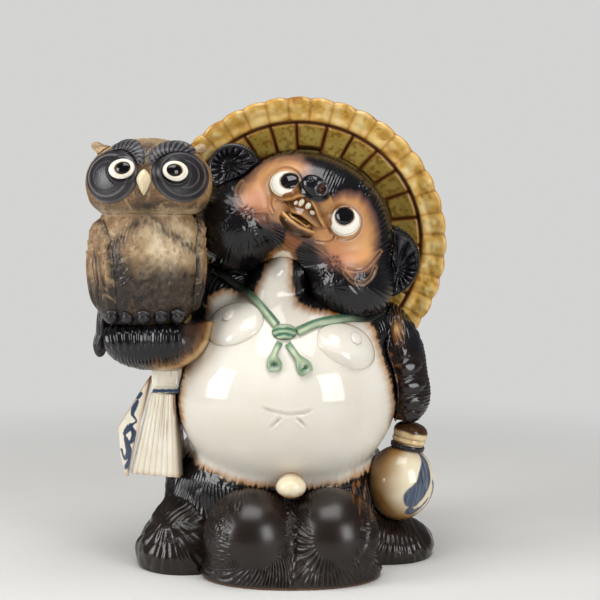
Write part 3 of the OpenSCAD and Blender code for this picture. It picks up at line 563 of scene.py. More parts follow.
# One cast half: outer skin in fine rows, inner wall in coarse ones, joined round the foot and down the
# two cut edges by flat faces
def trunkHalf(name, node, start, columns, rowSteps, material):
    foot, top = (0, -12, 0), (0, -12, trunkParts["axisTop"])
    k = 8  # fine rows or columns to one coarse one
    low, high, over = rowSteps
    rise = np.concatenate([np.linspace(0, 0.32, low, endpoint=False), np.linspace(0.32, 1, high)])
    spans = [(s, 0) for s in rise] + [(1, e) for e in rowsOver(0, 90, over)[1:-1]]
    spare = (len(spans) - 1) % k
    spans = spans[:len(spans) - spare] if spare else spans
    angles = np.linspace(start, start + 180, columns * k + 1)
    outer = castSpine(trunkShape, foot, top, spans, angles)
    facingOut = normalsOf(trunkShape, outer)
    d, along, paint = trunkPaint(outer)
    height = trunkHeight(outer, d, along, paint["fur"])
    flat = smoothStep(0, 4, outer[..., 2])
    ends = np.ones(len(angles))
    ends[0] = ends[-1] = 0
    outer = outer + facingOut * (height * flat * ends)[..., None]
    outer[0, :, 2] = 0
    inner = castSpine(trunkShape, foot, top, spans[::k], angles[::k])
    spine = np.array([vec(*foot) + s * (vec(*top) - vec(*foot)) for s, e in spans[::k]])[:, None, :]
    reach = length(inner - spine)[..., None]
    inner = spine + (inner - spine) * (reach - trunkParts["wall"]) / reach
    poleOut = poleOf(trunkShape, top, (0, 0, 1))
    poleIn = poleOut - vec(0, 0, trunkParts["wall"])
    rows, cols = outer.shape[:2]
    iRows, iCols = inner.shape[:2]
    n, m = rows * cols, iRows * iCols
    points = np.concatenate([outer.reshape(-1, 3), inner.reshape(-1, 3), [poleOut, poleIn]])
    faces = quads(rows, cols, 0, False) + quads(iRows, iCols, n, False, True)
    for j in range(iCols - 1):  # foot ring
        faces.append([*range(j * k, (j + 1) * k + 1)][::-1] + [n + j, n + j + 1])
        a = n - cols + j * k
        b = n + m - iCols + j
        faces += [(a + q, a + q + 1, n + m) for q in range(k)] + [(b + 1, b, n + m + 1)]
    for i in range(iRows - 1):  # the two cut edges
        edge = [r * cols for r in range(i * k, (i + 1) * k + 1)]
        near, far = n + i * iCols, n + (i + 1) * iCols
        faces.append(edge + [far, near])
        faces.append([r + cols - 1 for r in edge][::-1] + [near + iCols - 1, far + iCols - 1])
    faces += [(n - cols, n + m, n + m + 1, n + m - iCols), (n - 1, n + m - 1, n + m + 1, n + m)]
    inside = {key: 0.4 if key == "brown" else float(key == "fur") for key in paint}
    values = {key: np.concatenate([v.ravel(), np.full(m + 2, inside[key])]) for key, v in paint.items()}
    return addPiece(name, points, faces, material, node, values)


trunkHalf("trunkFront", "trunk_front", 180, 47, (88, 88, 1.1), bodyGlaze)
trunkHalf("trunkBack", "trunk_back", 0, 26, (44, 56, 2.0), bodyGlaze)
print("trunk ready")


# Builders


# Parts are (points, faces, values) and several of them can make one piece
def addParts(name, parts, finish, node):
    points = np.concatenate([p[0] for p in parts])
    starts = np.cumsum([0] + [len(p[0]) for p in parts])
    faces = [tuple(k + s for k in f) for p, s in zip(parts, starts) for f in p[1]]
    values = {key: np.concatenate([np.ravel(p[2][key]) for p in parts]) for key in parts[0][2]}
    return addPiece(name, points, faces, finish, node, values)


# A closed lump cast round a spine; relief gives the height of its surface, paint its attributes
def lump(shape, base, tip, step, columns, relief=None, paint=None, side=2):
    base, tip = vec(*base), vec(*tip)
    grid = castSpine(shape, base, tip, lumpSpans(step, side), np.arange(columns) * 360 / columns)
    w = unit(tip - base)
    values = paint(grid) if paint else {}
    low, high = poleOf(shape, base, -w), poleOf(shape, tip, w)
    if relief:
        grid = grid + normalsOf(shape, grid) * relief(grid)[..., None]
    points, faces = closedGrid(grid, low, high)
    return points, faces, withPoles(values, *grid.shape[:2])


# A hollow pot, open at its first row: a fine outer skin, an inner wall in every k-th row and column,
# and flat faces round the opening
def pot(shape, base, tip, spans, angles, wall, k, relief, paint, flatFoot=False, upright=1):
    base, tip = vec(*base), vec(*tip)
    outer = castSpine(shape, base, tip, spans, angles)
    values = paint(outer)
    outer = outer + normalsOf(shape, outer) * relief(outer)[..., None] * vec(1, 1, upright)
    if flatFoot:
        outer[0, :, 2] = base[2]
    few = castSpine(shape, base, tip, spans[::k], angles[::k])
    spine = np.array([base + s * (tip - base) for s, e in spans[::k]])[:, None, :]
    reach = length(few - spine)[..., None]
    inner = spine + (few - spine) * (reach - wall) / reach
    w = unit(tip - base)
    top = poleOf(shape, tip, w)
    rows, cols = outer.shape[:2]
    iRows, iCols = inner.shape[:2]
    n, m = rows * cols, iRows * iCols
    points = np.concatenate([outer.reshape(-1, 3), inner.reshape(-1, 3), [top, top - wall * w]])
    faces = quads(rows, cols) + quads(iRows, iCols, n, True, True)
    faces += fan(list(range(n - cols, n)), n + m) + fan(list(range(n + m - iCols, n + m)), n + m + 1, True)
    for j in range(iCols):
        rim = [(j * k + q) % cols for q in range(k + 1)]
        faces.append([*rim[::-1], n + j, n + (j + 1) % iCols])
    def skins(v):
        return np.concatenate([np.broadcast_to(v, (rows, cols)).ravel(), np.zeros(m), [np.mean(v[-1]), 0]])

    return points, faces, {key: skins(v) for key, v in values.items()}


# A relief laid on a shape: at(t, a) gives its radius and height, t from 0 at its edge to 1 in its
# middle; under(x, y) is the height of what it lies on; paint works from x, y and t
def sprig(shape, f, at, rows, columns, under=None, paint=None, deep=30):
    a = np.arange(columns)[None] * 2 * np.pi / columns

    def layer(t, raised):
        radius, height = at(t, a)
        x, y = radius * np.cos(a), radius * np.sin(a)
        o = world(np.stack([x, y, 0 * x - deep], -1), f)
        d = np.broadcast_to(f[1][2], o.shape)
        lift = leaves(o, d, shape, 0, 2 * deep) + seam / 2 + (under(x, y) if under else 0) + raised * height
        return o + lift[..., None] * d, (paint(x, y, t + 0 * x) if paint else {})

    over, values = layer(np.linspace(0, 1, rows + 1)[:-1, None], 1)
    below, lower = layer(np.array([[0.6], [0.0]]), 0)
    high, low = (layer(np.array([[1.0]]), k)[0][0].mean(0) for k in (1, 0))
    grid = np.concatenate([below, over])
    points, faces = closedGrid(grid, low, high)
    values = {key: np.concatenate([lower[key], v]) for key, v in values.items()}
    return points, faces, withPoles(values, *grid.shape[:2])


# Points along a smooth curve through a few chosen ones
def curve(line, count):
    p = np.array(line, float)
    t = np.linspace(0, len(p) - 1, count)
    k = np.minimum(t.astype(int), len(p) - 2)
    s = (t - k)[:, None]
    a, b, c, d = p[np.maximum(k - 1, 0)], p[k], p[k + 1], p[np.minimum(k + 2, len(p) - 1)]
    bend, twist = 2 * a - 5 * b + 4 * c - d, 3 * b - a - 3 * c + d
    return 0.5 * (2 * b + s * (c - a) + s * s * bend + s ** 3 * twist)


# A strip laid on a shape along points (x, z) seen from the front, round on top; width and height
# follow t along it, and relief(t, e) adds to its height, e from -1 to 1 over it
def strip(shape, line, fromY, width, height, count, under=0.0, paint=None, relief=None, across=11):
    p = curve(line, count)
    t = np.linspace(0, 1, count)[:, None]
    along = np.gradient(p, axis=0)
    along /= length(along)[:, None]
    phi = np.linspace(0, np.pi, across)
    e = np.concatenate([np.cos(phi), [-0.5, 0.0, 0.5]])[None]
    up = np.concatenate([np.sin(phi), [0, 0, 0]])[None]
    top = up > 0.05
    half = width(t) / 2
    x = p[:, 0, None] + along[:, 1, None] * e * half
    z = p[:, 1, None] - along[:, 0, None] * e * half
    o = np.stack([x, 0 * x + fromY, z], -1)
    d = np.broadcast_to(vec(0, -1, 0), o.shape)
    lift = leaves(o, d, shape, 0, 150) + seam / 2 + under + height(t) * up
    if relief:
        lift = lift + top * relief(t, e)
    grid = o + lift[..., None] * d
    points, faces = closedGrid(grid, grid[0].mean(0), grid[-1].mean(0))
    values = paint(t + 0 * x, e + 0 * x) if paint else {}
    return points, faces, withPoles(values, *grid.shape[:2])


# A body of revolution from (radius, height) points, the first and last of them on its axis
def turned(profile, columns, f, paint=None):
    r, h = np.array(profile, float).T
    a = np.arange(columns) * 2 * np.pi / columns
    q = np.stack([r[:, None] * np.cos(a), r[:, None] * np.sin(a), h[:, None] + 0 * a], -1)
    grid = world(q, f)
    points, faces = closedGrid(grid[1:-1], grid[0, 0], grid[-1, 0])
    values = paint(q[1:-1]) if paint else {}
    return points, faces, withPoles(values, len(r) - 2, columns)


def dome(t, h):
    return h * np.sqrt(1 - (1 - t) ** 2)


# Profile of a round button that stands a step above its seat
def button(radius, high, step):
    return lambda t, a: ((1 - t) * radius + 0 * a, dome(t, high) + step + 0 * a)


# A frame moved by d in its own plane
def shifted(f, d):
    return f[0] + d[0] * f[1][0] + d[1] * f[1][1], f[1]


def slab(t, h):
    return h * clamp(0.02 + 4 * t) ** 0.6


def oval(rx, ry, a):
    return 1 / np.sqrt((np.cos(a) / rx) ** 2 + (np.sin(a) / ry) ** 2)


# Angles round a piece, close together over its front and wider apart behind
def frontAngles(front, back):
    return np.concatenate([np.linspace(180, 360, front, endpoint=False),
                           np.linspace(360, 540, back, endpoint=False)])


print("builders ready")


# Pouch

pouchRelief = dict(comb=2.3, width=3.7, lobes=[((-27, 48), (25, 29)), ((41, 56), (24, 28))])


# Combed frame round two smooth lobes: the strokes run round each lobe at a slant, and stand upright
# under the belly; one long ridge curls round the right lobe
def pouchHeight(p):
    x, y, z = np.moveaxis(p, -1, 0)
    total, cover = 0, 1
    for k, ((cx, cz), (rx, rz)) in enumerate(pouchRelief["lobes"]):
        dx, dz = x - cx, z - cz
        away = np.sqrt((dx / rx) ** 2 + (dz / rz) ** 2)
        turn = np.arctan2(dz, dx)
        slant = 0.75 * (1 if k == 0 else np.clip(1.3 * np.sin(turn) + 1.1, -0.8, 1))
        strokes = combed(turn * 46 + slant * away * rx, away * 34, pouchRelief["width"], 21, 3.0 * k, 0.8)
        side = smoothStep(4, -2, x) if k == 0 else smoothStep(-2, 4, x)
        total = total + side * strokes
        cover = cover * smoothStep(0.86, 1.14, away + 0.10 * noise(p, 7))
    upright = combed(x, z, 3.0, 16, 5.0)
    top = smoothStep(70, 78, z)
    total = total * (1 - top) + upright * top
    far, run = fromLine(x, z, [(66, 76), (72, 58), (70, 38), (60, 22)])
    ridge = 2.0 * hill(far, 1.7) * (y < -80)
    centre = -1.6 * hill(x - 4 - 0.1 * (z - 30), 2.2) * smoothStep(6, 20, z)
    return (cover * (total - 0.55) * pouchRelief["comb"] + ridge + centre) * smoothStep(0, 5, z)


def pouchPaint(p):
    x, z = p[..., 0], p[..., 2]
    streaks = smoothStep(0.2, 0.6, brushed(x / 1.8, z / 8))
    amber = streaks * hill(x - 70, 16) * smoothStep(52, 72, z)
    foot = hill(z, 1.6) * 0.8
    return dict(amber=clamp(amber), foot=foot)


pouchGlaze = firedFinish("pouchGlaze", ("#1A120E", "#211712"), 45, 0.3, [
    coat("amber", "#A8692F", "#7C4A22", 0.25),
    coat("foot", "#8A6A4C", "#6E5038", 0.6)], peel=(5, 0.08))
rise = [(s, 0) for s in np.linspace(0, 1, 29)] + [(1, e) for e in rowsOver(0, 90, 0.85)[1:-1]]
addParts("pouchShell", [pot(pouchShape, (2, -108, 0), (2, -108, 28), rise, frontAngles(420, 60),
                            pouchParts["wall"], 6, pouchHeight, pouchPaint, flatFoot=True)],
         pouchGlaze, "pouch")
knobGlaze = firedFinish("knobGlaze", ("#E9DFC6", "#E0D0AC"), 14, 0.08, [
    coat("amber", "#B07A3C", "#8E5A2A", 0.12)], peel=(6, 0.05))


# Amber under the knob and on its side towards the belly is painted shade
def knobPaint(p):
    low, back = smoothStep(82, 74, p[..., 2] + 2 * noise(p, 5)), smoothStep(-112, -100, p[..., 1])
    return dict(amber=clamp(low + 0.8 * back))


addParts("pouchKnob", [lump(knobShape, (2, -109, 84), (2, -100, 86), 4, 72, None, knobPaint)],
         knobGlaze, "knob")
print("pouch ready")


# Chest

chest = dict(at=[((-50, -66, 227), (-0.2, -1, 0.15), 8), ((49, -68, 206), (0.2, -1, 0.15), -18)],
             rx=30, rz=21, h=10, nipples=[(-5, 8), (8, 7)], nippleR=6.2)
breastGlaze = firedFinish("breastGlaze", ("#DFDACF", "#D8D1C4"), 70, 0.08, [blackLayers[0]], peel=(9, 0.05))


def breastHeight(t):
    return chest["h"] * (0.015 + 1.1 * (1 - (1 - t) ** 2) ** 0.8)


# One breast with an amber rim at its top outer side, and its nipple
def breast(k):
    at, n, turnBy = chest["at"][k]
    f = facing(at, n)
    slope = math.radians(turnBy)
    dx, dy = chest["nipples"][k]

    def edge(a):
        return oval(chest["rx"], chest["rz"], a - slope)

    def rim(x, y, t):
        outer = smoothStep(-0.1, 0.7, (x if k else -x) / 30 + y / 45)
        return dict(amber=smoothStep(0.11, 0.0, t) * 0.9 * outer)

    def under(x, y):
        x, y = x + dx, y + dy
        return breastHeight(1 - np.hypot(x, y) / edge(np.arctan2(y, x))) + seam

    def swell(t, a):
        return (1 - t) * edge(a), breastHeight(t) + 0 * a

    mound = sprig(trunkShape, f, swell, 26, 120, paint=rim)
    nipple = sprig(trunkShape, shifted(f, (dx, dy)), button(chest["nippleR"], 3, 0.3), 10, 40, under)
    return mound, nipple


breasts = [breast(k) for k in (0, 1)]
addParts("breastLeft", [breasts[0][0]], breastGlaze, "breast_left")
addParts("breastRight", [breasts[1][0]], breastGlaze, "breast_right")
addParts("nipplePair", [nipple for mound, nipple in breasts], breastGlaze, "nipples")

# cord: a rope of clay under green glaze that darkens towards the shoulders
cord = dict(left=[(-72, 277), (-50, 262), (-36, 253), (-22, 240), (-11, 227.9)],
            right=[(8, 223), (28, 230), (54, 233), (75, 232.5), (92, 238.5)],
            ends=[[(-8, 214), (-13, 203), (-12, 190)], [(-1, 213), (9, 200), (17, 188)]], knot=(-4, -88, 221))
# On the two cord strips the pale layer is a painted highlight along the crest and the deep layer painted
# shade down one side
cordGlaze = firedFinish("cordGlaze", ("#7E9A7C", "#5E8468"), 9, 0.12, [
    coat("deep", "#2F6A4E", "#255640", 0.12),
    coat("pale", "#C9CBB0", "#B4BE98", 0.12),
    coat("dark", "#20241F", "#171A19", 0.15)], peel=(4, 0.06))


def cordPaint(darkEnd):
    def paint(t, e):
        s = t if darkEnd else 1 - t
        # pale: painted highlight along the crest; deep: painted shade down one side
        pale = hill(e - 0.15, 0.45) * (1 - s) ** 0.5 * 0.75
        return dict(deep=hill(e + 0.6, 0.4) * 0.7 + 0 * t, pale=pale, dark=smoothStep(0.3, 0.72, s))
    return paint


def cordWidth(t):
    return 7.8 + 0 * t


def cordRound(t):
    return 4.4 * np.clip(40 * t * (1 - t), 0.45, 1) ** 0.5


for name, line, node, darkEnd in (("cordLeft", cord["left"], "cord_left", 0),
                                  ("cordRight", cord["right"], "cord_right", 1)):
    addParts(name, [strip(trunkShape, line, -14, cordWidth, cordRound, 70, 0.6, cordPaint(darkEnd),
                          lambda t, e: 0.5 * np.sin(t * 16 + e))], cordGlaze, node)


# The cord's ends widen to bells with a pit in each
def bellWidth(t):
    return 5.8 + 8.2 * smoothStep(0.4, 0.78, t) * np.clip(3 * (1.12 - t), 0.2, 1) ** 0.5


def bellHeight(t):
    return 4.6 * np.clip(8 * t * (1.06 - t), 0.2, 1) ** 0.5


def bellPaint(t, e):
    pit = hill(t - 0.78, 0.13) * hill(e, 0.5)
    return dict(deep=clamp(pit * 1.4), pale=hill(e, 0.7) * smoothStep(0.1, 0.3, t) * (1 - pit) * 0.8,
                dark=pit * 0.55)


def bellPit(t, e):
    return -2.6 * hill(t - 0.78, 0.12) * hill(e, 0.45)


endParts = [strip(trunkShape, line, -14, bellWidth, bellHeight, 60, 0.6, bellPaint, bellPit)
            for line in cord["ends"]]
addParts("cordEnds", endParts, cordGlaze, "cord_ends")


# The knot's turns of cord run across it as a wave
def strands(x, y):
    return np.cos(1.1 * (y + 0.02 * x * x))


def knotAt(t, a):
    ribs = strands((1 - t) * 11 * np.cos(a), (1 - t) * 8 * np.sin(a))
    return (1 - t) * oval(11.5, 8, a), dome(t, 6.5) + 0.55 * ribs


def knotPaint(x, y, t):
    return dict(deep=0.75 * hill(strands(x, y) + 1, 0.5), pale=hill(strands(x, y) - 1, 0.6) * 0.5,
                dark=0.6 * hill(t, 0.08))


knot = sprig(trunkShape, facing(cord["knot"], (0, -1, 0.2)), knotAt, 24, 80, paint=knotPaint)
addParts("cordKnot", [knot], cordGlaze, "cord_knot")
print("chest ready")


# Head

# Outlines and marks on the face, in the head's own millimetres
face = dict(
    maskLeft=[(-72, -12), (-73, 0), (-74, 19), (-66, 34), (-54, 45), (-41, 52), (-29, 51), (-23, 47),
              (-21, 40), (-25, 32), (-16, 23), (-12, 8), (-12, -9), (-20, -15), (-36, -18), (-45, -19),
              (-56, -22), (-64, -20)],
    maskRight=[(2, 35), (7, 42), (15, 49), (25, 51), (36, 49), (45, 44), (54, 37), (62, 27), (69, 16),
               (72, 6), (70, -2), (63, -10), (54, -16), (45, -19), (36, -22), (28, -19), (18, -15),
               (11, -12), (2, -12), (-16, -8), (-16, 10), (-6, 22)],
    throat=[(-7, -30), (-12, -39), (-13, -49), (-11, -60), (-9, -70), (-8, -80), (24, -80), (22, -66),
            (15, -55), (9, -46), (3, -33), (-2, -29)],
    chin=[(-14, -15), (-8, -30), (0, -29), (2, -14)],
    frecklesLeft=[(-57, -15), (-52, -14), (-58, -21), (-54, -19), (-49, -17), (-54, -23), (-49, -22)],
    frecklesRight=[(31, -15), (34, -11), (37, -9), (34, -16), (38, -13), (41, -12), (38, -19), (42, -17),
                   (39, -23)],
    rings=[(22, 58), (26, 58), (30, 59), (21, 62), (31, 54)],
    stripe=[(-24, 52), (-2, 54), (5, 40), (0, 30), (-5, 24), (-24, 24), (-25, 34), (-21, 42)],
    creases=[curve(line, 12).tolist() for line in (
        [(-74, 2), (-73, -6), (-66, -13), (-61, -15)], [(50, -13), (57, -11), (64, -4), (67, 6), (69, 16)],
        [(50, -17), (60, -20), (69, -17), (73, -8), (72, 1)], [(-41, 3), (-39, -2), (-34, -5)],
        [(13, -7), (20, -4), (24, 1), (24, 5)])],
    eyes=[(-38.6, 21.2), (26, 21.2)], jowls=[(-54, -19), (38, -15)])


# Distance from the middle of each jowl, and the turn round it
def fromJowls(a, b):
    return [(np.hypot(a - x, b - y), np.arctan2(b - y, a - x)) for x, y in face["jowls"]]


def facePaint(p):
    a, b, c = onFace(p)
    mask = np.minimum(fromOutline(a, b, face["maskLeft"])[0], fromOutline(a, b, face["maskRight"])[0])
    mask = np.where(c > 5, mask, 30)
    (leftAway, leftTurn), (rightAway, rightTurn) = fromJowls(a, b)
    strokes = brushed(np.where(a < -8, leftTurn, rightTurn) * 14, np.minimum(leftAway, rightAway) / 16)
    low = smoothStep(0, -14, b)
    stripe = fromOutline(a, b, face["stripe"])[0]
    mask = np.where(c > 5, np.maximum(mask, -stripe + 2), mask)
    edge = mask + strokes * (1.2 + 3.6 * low) + 1.2 * noise(p, 9)
    throat = fromOutline(a, b, face["throat"])[0]
    throat = np.where(c > 0, throat + 1.2 * noise(p, 4), 30)
    chin = np.where(c > 0, fromOutline(a, b, face["chin"])[0], 30)
    pits = sum(hill(np.hypot(a - x, b - y), 1.5) for x, y in face["frecklesLeft"] + face["frecklesRight"])
    # Painted highlight along the creases' raised rims, painted shade in the creases
    rims = sum(hill(fromLine(a, b, line)[0] - 1.7, 0.8) for line in face["creases"])
    grooves = sum(hill(fromLine(a, b, line)[0], 1.1) for line in face["creases"])
    # A ring round each eye, in the groove there, that the warm layer darkens as painted shade
    socket = sum(hill(np.hypot(a - x, b - y) - 16, 2.2) for x, y in face["eyes"])
    return dict(
        blush=clamp(hill(np.hypot(a + 52, b + 10), 17) + hill(np.hypot(a - 40, b + 11), 19)) * 0.6,
        glow=clamp(hill(np.hypot(a + 54, b - 16), 15) + hill(np.hypot(a - 50, b - 14), 18)) * 0.55,
        # warm: darker brown down the middle of the face round the muzzle, and painted shade round the eyes
        warm=clamp(hill(a + 9, 15) * hill(b - 8, 34) + 0.75 * socket),
        dusk=smoothStep(-14, 1, edge) * 0.95,
        fur=smoothStep(-2.0, 3.5, edge),
        chin=smoothStep(2.5, -1.5, chin) * 0.85,
        edge=smoothStep(7, 1.5, throat),
        throat=smoothStep(1.8, -1.8, throat),
        # pit: dark brown in the freckle pits, and painted shade in the creases; rim: painted highlight on the
        # creases' rims
        pit=clamp(pits + 0.5 * grooves * (c > 0)), rim=clamp(rims * (c > 0)) * 0.3)


# Fur that fans out from the freckles over the jowls, upright strokes over the forehead, cheeks
# smooth; pits, raised rings and creases pressed into it
def faceHeight(p):
    a, b, c = onFace(p)
    marks = facePaint(p)
    split = smoothStep(-12, -4, a)
    (leftAway, leftTurn), (rightAway, rightTurn) = fromJowls(a, b)
    left = combed(leftTurn * 36, leftAway, 2.5, 64, 1.0, 1.2)
    right = combed(rightTurn * 36, rightAway, 2.5, 64, 2.0, 1.2)
    crown = combed(a + 0.15 * b, b, 3.1, 24, 3.0, 0.5)
    comb = left * (1 - split) + right * split
    top = smoothStep(34, 44, b) * smoothStep(52, 34, np.abs(a))
    comb = comb * (1 - top) + crown * top
    crest = 0.7 * hill(np.hypot((a + 5) / 9, (b - 54) / 9), 1.0) + 0.8 * smoothStep(62, 80, b)
    smooth = top * (1 - np.clip(crest, 0.06, 1))
    cover = smoothStep(-3, 5, marks["fur"] * 8 - 4) * (1 - marks["throat"]) * (1 - smooth)
    cover = cover * smoothStep(7, 17, np.minimum(leftAway, rightAway))
    front = c > 0
    height = cover * (comb - 0.6) * 1.7
    for x, y in face["frecklesLeft"] + face["frecklesRight"]:
        height = height - 1.3 * hill(np.hypot(a - x, b - y), 1.2) * front
    for x, y in face["rings"]:
        far = np.hypot(a - x, b - y)
        height = height + front * (0.9 * hill(far - 1.9, 0.8) - 0.5 * hill(far, 1.0))
    for line in face["creases"]:
        far = fromLine(a, b, line)[0]
        height = height + front * (-1.3 * hill(far, 0.9) + 0.6 * hill(far - 1.8, 1.1))
    for x, y in face["eyes"]:
        far = np.hypot(a - x, b - y)
        height = height + front * (0.7 * hill(far - 18.5, 3.2) - 0.6 * hill(far - 15.4, 0.9))
    return height


faceGlaze = firedFinish("faceGlaze", ("#CE965E", "#C28A54"), 40, 0.4, [
    coat("glow", "#DFAC72", "#D6A268", 0.4),
    coat("blush", "#BC7862", "#AE6C58", 0.42),
    coat("warm", "#94602F", "#7C4E28", 0.2),
    coat("dusk", "#55393A", "#403036", 0.16),
    coat("fur", "#0A090C", "#121014", 0.17),
    coat("chin", "#A8683C", "#8C5430", 0.14),
    coat("edge", "#9C6830", "#7C4E24", 0.12),
    coat("throat", "#E6DDC8", "#DCD0B4", 0.09),
    coat("pit", "#4C2C22", "#3C241E", 0.2),
    coat("rim", "#D8A878", "#C49468", 0.15)], peel=(7, 0.06))
headFoot = world(vec(-2, 14, -4), headFrame)
crownWay = unit(vec(21, 23, 52))
around = [(0, e) for e in rowsOver(-66, 40, 0.66)] + [(0, e) for e in rowsOver(40, 88, 1.8)[1:]]
headShell = pot(headShape, headFoot, headFoot + 0.01 * crownWay, around, frontAngles(380, 100),
                headParts["wall"], 10, faceHeight, facePaint)
addParts("headShell", [headShell], faceGlaze, "head")
print("head ready")


# Eyes, snout and ears


def onHead(a, b, deep):
    return world(vec(a, b, deep), headFrame), headFrame[1]


# Radius and height of an eye's white round its pupil: a flat skirt, a rim that stands up, a dished
# white and a ledge under the pupil
def eyeRows(off, r, rPupil, h):
    def rows(t, a):
        out = -off[0] * np.cos(a) - off[1] * np.sin(a)
        edge = out + np.sqrt(r * r - off[0] ** 2 - off[1] ** 2 + out * out)
        hole = rPupil + 0.35
        s = clamp(t / 0.84)
        radius = np.where(t > 0.86, hole * (1 - t) / 0.14 * 0.96, edge + (hole - edge) * s ** 1.15)
        dish = h * (0.12 + 0.88 * np.sqrt(clamp(1 - (1 - s) ** 2)))
        rim = 0.7 * hill(s - 0.13, 0.07) - 0.5 * hill(s - 0.24, 0.05)
        return radius, np.where(t > 0.86, 1.5, dish + rim)
    return rows


# The same rows pressed flatter by a share, across an axis turned by slope
def squashed(rows, share, slope=0.0):
    def flat(t, a):
        u, v = np.cos(a - slope), np.sin(a - slope) / share
        radius, height = rows(t, np.arctan2(v, u) + slope)
        return radius / np.hypot(u, v), height
    return flat


def eyePaint(x, y, t):
    s = clamp(t / 0.84)
    amber = hill(s - 0.24, 0.05) * 0.55 + 0.7 * smoothStep(0.93, 1.0, s) + smoothStep(0.05, 0, s)
    return dict(amber=clamp(amber), cream=smoothStep(0.22, 0.1, s))


eyeGlaze = firedFinish("eyeGlaze", ("#F1EDE3", "#ECE7DA"), 18, 0.07, [
    coat("cream", "#E7DCC0", "#DACBA6", 0.1),
    coat("amber", "#8A5F34", "#6E4827", 0.12)], peel=(6, 0.03))
pupilGlaze = firedFinish("pupilGlaze", ("#08070A", "#0D0B0E"), 20, 0.04, [], peel=(8, 0.02))
eyes = dict(off=[(1.8, 5), (-3.5, 4.5)], flat=(0.84, 0.93), deep=62, r=14.6, rPupil=9.2, h=6, ledge=1.5)
pupilParts = []
for k, name in enumerate(("eyeLeft", "eyeRight")):
    (a, b), off, flat = face["eyes"][k], eyes["off"][k], eyes["flat"][k]
    f = onHead(a + off[0], b + off[1], eyes["deep"])
    rows = squashed(eyeRows(off, eyes["r"], eyes["rPupil"], eyes["h"]), flat, tilt)
    addParts(name, [sprig(skull, f, rows, 40, 96, lambda x, y: seam, eyePaint)], eyeGlaze,
             ("eye_left", "eye_right")[k])
    pupilParts.append(sprig(skull, f, squashed(button(eyes["rPupil"], 2.4, 0.2), flat, tilt), 12, 64,
                            lambda x, y: eyes["ledge"] + 2 * seam))
addParts("eyePupils", pupilParts, pupilGlaze, "pupils")

# snout: a beak-like muzzle over an amber lower jaw, a black nose with two ringed nostrils
snout = dict(lip=[(-36, 5), (-30, 9.5), (-25.4, 13.6), (-22.4, 18.6), (-15.2, 22.8), (-9, 20.5), (-3, 17),
                  (3, 12.5), (9, 9), (19, 4)],
             rim=[(-36, 4.5), (-29.6, 3.6), (-22.8, 2.8), (-11, 7), (0.5, 5.2), (10, 4.2), (18.5, 3.4)],
             inside=[(-35, 5.5), (-30, 9), (-25, 13), (-22, 18), (-15, 21.5), (-9, 19.5), (-3, 16), (2, 12),
                     (8, 8.5), (18, 4.6), (10, 5.6), (0.5, 6.6), (-11, 8.4), (-18, 5.6), (-23, 4.2),
                     (-30, 5)],
             slit=[(-18.5, 3.6), (-11, 3.4), (-2.5, 3.0)],
             chin=[(-24, 1), (-17.4, -0.8), (-7, -1.2), (2, 0.4), (8, 2)],
             nostrils=[(-8.6, 34.6, 3.4, 4.4), (-21.3, 36.2, 1.6, 1.6)],
             teeth=[(-21.1, 12.2, 1.6, 2.1), (-17.0, 14.8, 2.3, 3.6), (-10.4, 15.6, 2.3, 3.3),
                    (-4.0, 12.6, 2.4, 1.9)])


def muzzleShape(p):
    return less(p, muzzleField(p), skull)


def jawShape(p):
    return less(p, fromBulges(local(p, headFrame), headParts["jaw"]), skull, muzzleField)


def noseShape(p):
    return less(p, fromBulges(local(p, headFrame), headParts["nose"]), muzzleField)


# The muzzle's points in the head's millimetres, with their distances from its lip, rim and mouth
def snoutLines(p):
    a, b = onFace(p)[:2]
    lip, rim = (fromLine(a, b, snout[key])[0] for key in ("lip", "rim"))
    return a, b, lip, rim, fromOutline(a, b, snout["inside"])[0]


# Lips stand up along their lines, the mouth sinks between them, the bridge rises towards the nose
def muzzleHeight(p):
    a, b, lip, rim, inside = snoutLines(p)
    bridge = hill(a - 3 - 0.25 * b, 3) * smoothStep(10, 22, b)
    return 1.3 * hill(lip, 1.7) + 1.5 * hill(rim, 1.4) - 2.6 * smoothStep(1.2, -2.2, inside) + 0.7 * bridge


# dark: dark brown inside the mouth, deepest at its corners as painted shade, and a band of painted shade
# along the outside of the lip; pale: lighter tan along the lip and rim lines, and shine, a painted highlight
# down the bridge
def muzzlePaint(p):
    a, b, lip, rim, inside = snoutLines(p)
    corner = hill(np.hypot(a - 12, b - 7), 6) + hill(np.hypot(a + 29, b - 8), 5)
    mouth = smoothStep(0.5, -1.5, inside) * (0.4 + 0.6 * corner + 0.3 * noise(p, 3))
    black = smoothStep(1.2, 0.95, np.hypot((a + 15) / 15.5, (b - 33) / 11.5))
    black = black + smoothStep(33, 38, b + 2 * noise(p, 5)) * smoothStep(4, -3, a)
    shine = hill(np.hypot((a - 4) / 6, (b - 27) / 11), 1.0)
    return dict(dark=clamp(mouth + 0.45 * hill(lip - 3.4, 1.6) * (inside > 0)),
                pale=clamp(hill(lip, 1.2) * 0.7 + hill(rim, 1.5) * 0.9 + 0.55 * shine), black=clamp(black))


# The jaw's points in the head's millimetres, with their distances from its slit and its chin line
def jawLines(p):
    a, b = onFace(p)[:2]
    return a, b, *(fromLine(a, b, snout[key])[0] for key in ("slit", "chin"))


def jawHeight(p):
    a, b, slit, chin = jawLines(p)
    roll = hill(chin - 2.6, 1.3) * (b < 0)
    return -1.8 * hill(slit, 1.0) - 1.7 * hill(chin, 1.1) + roll - 1.2 * smoothStep(-1, 1, b)


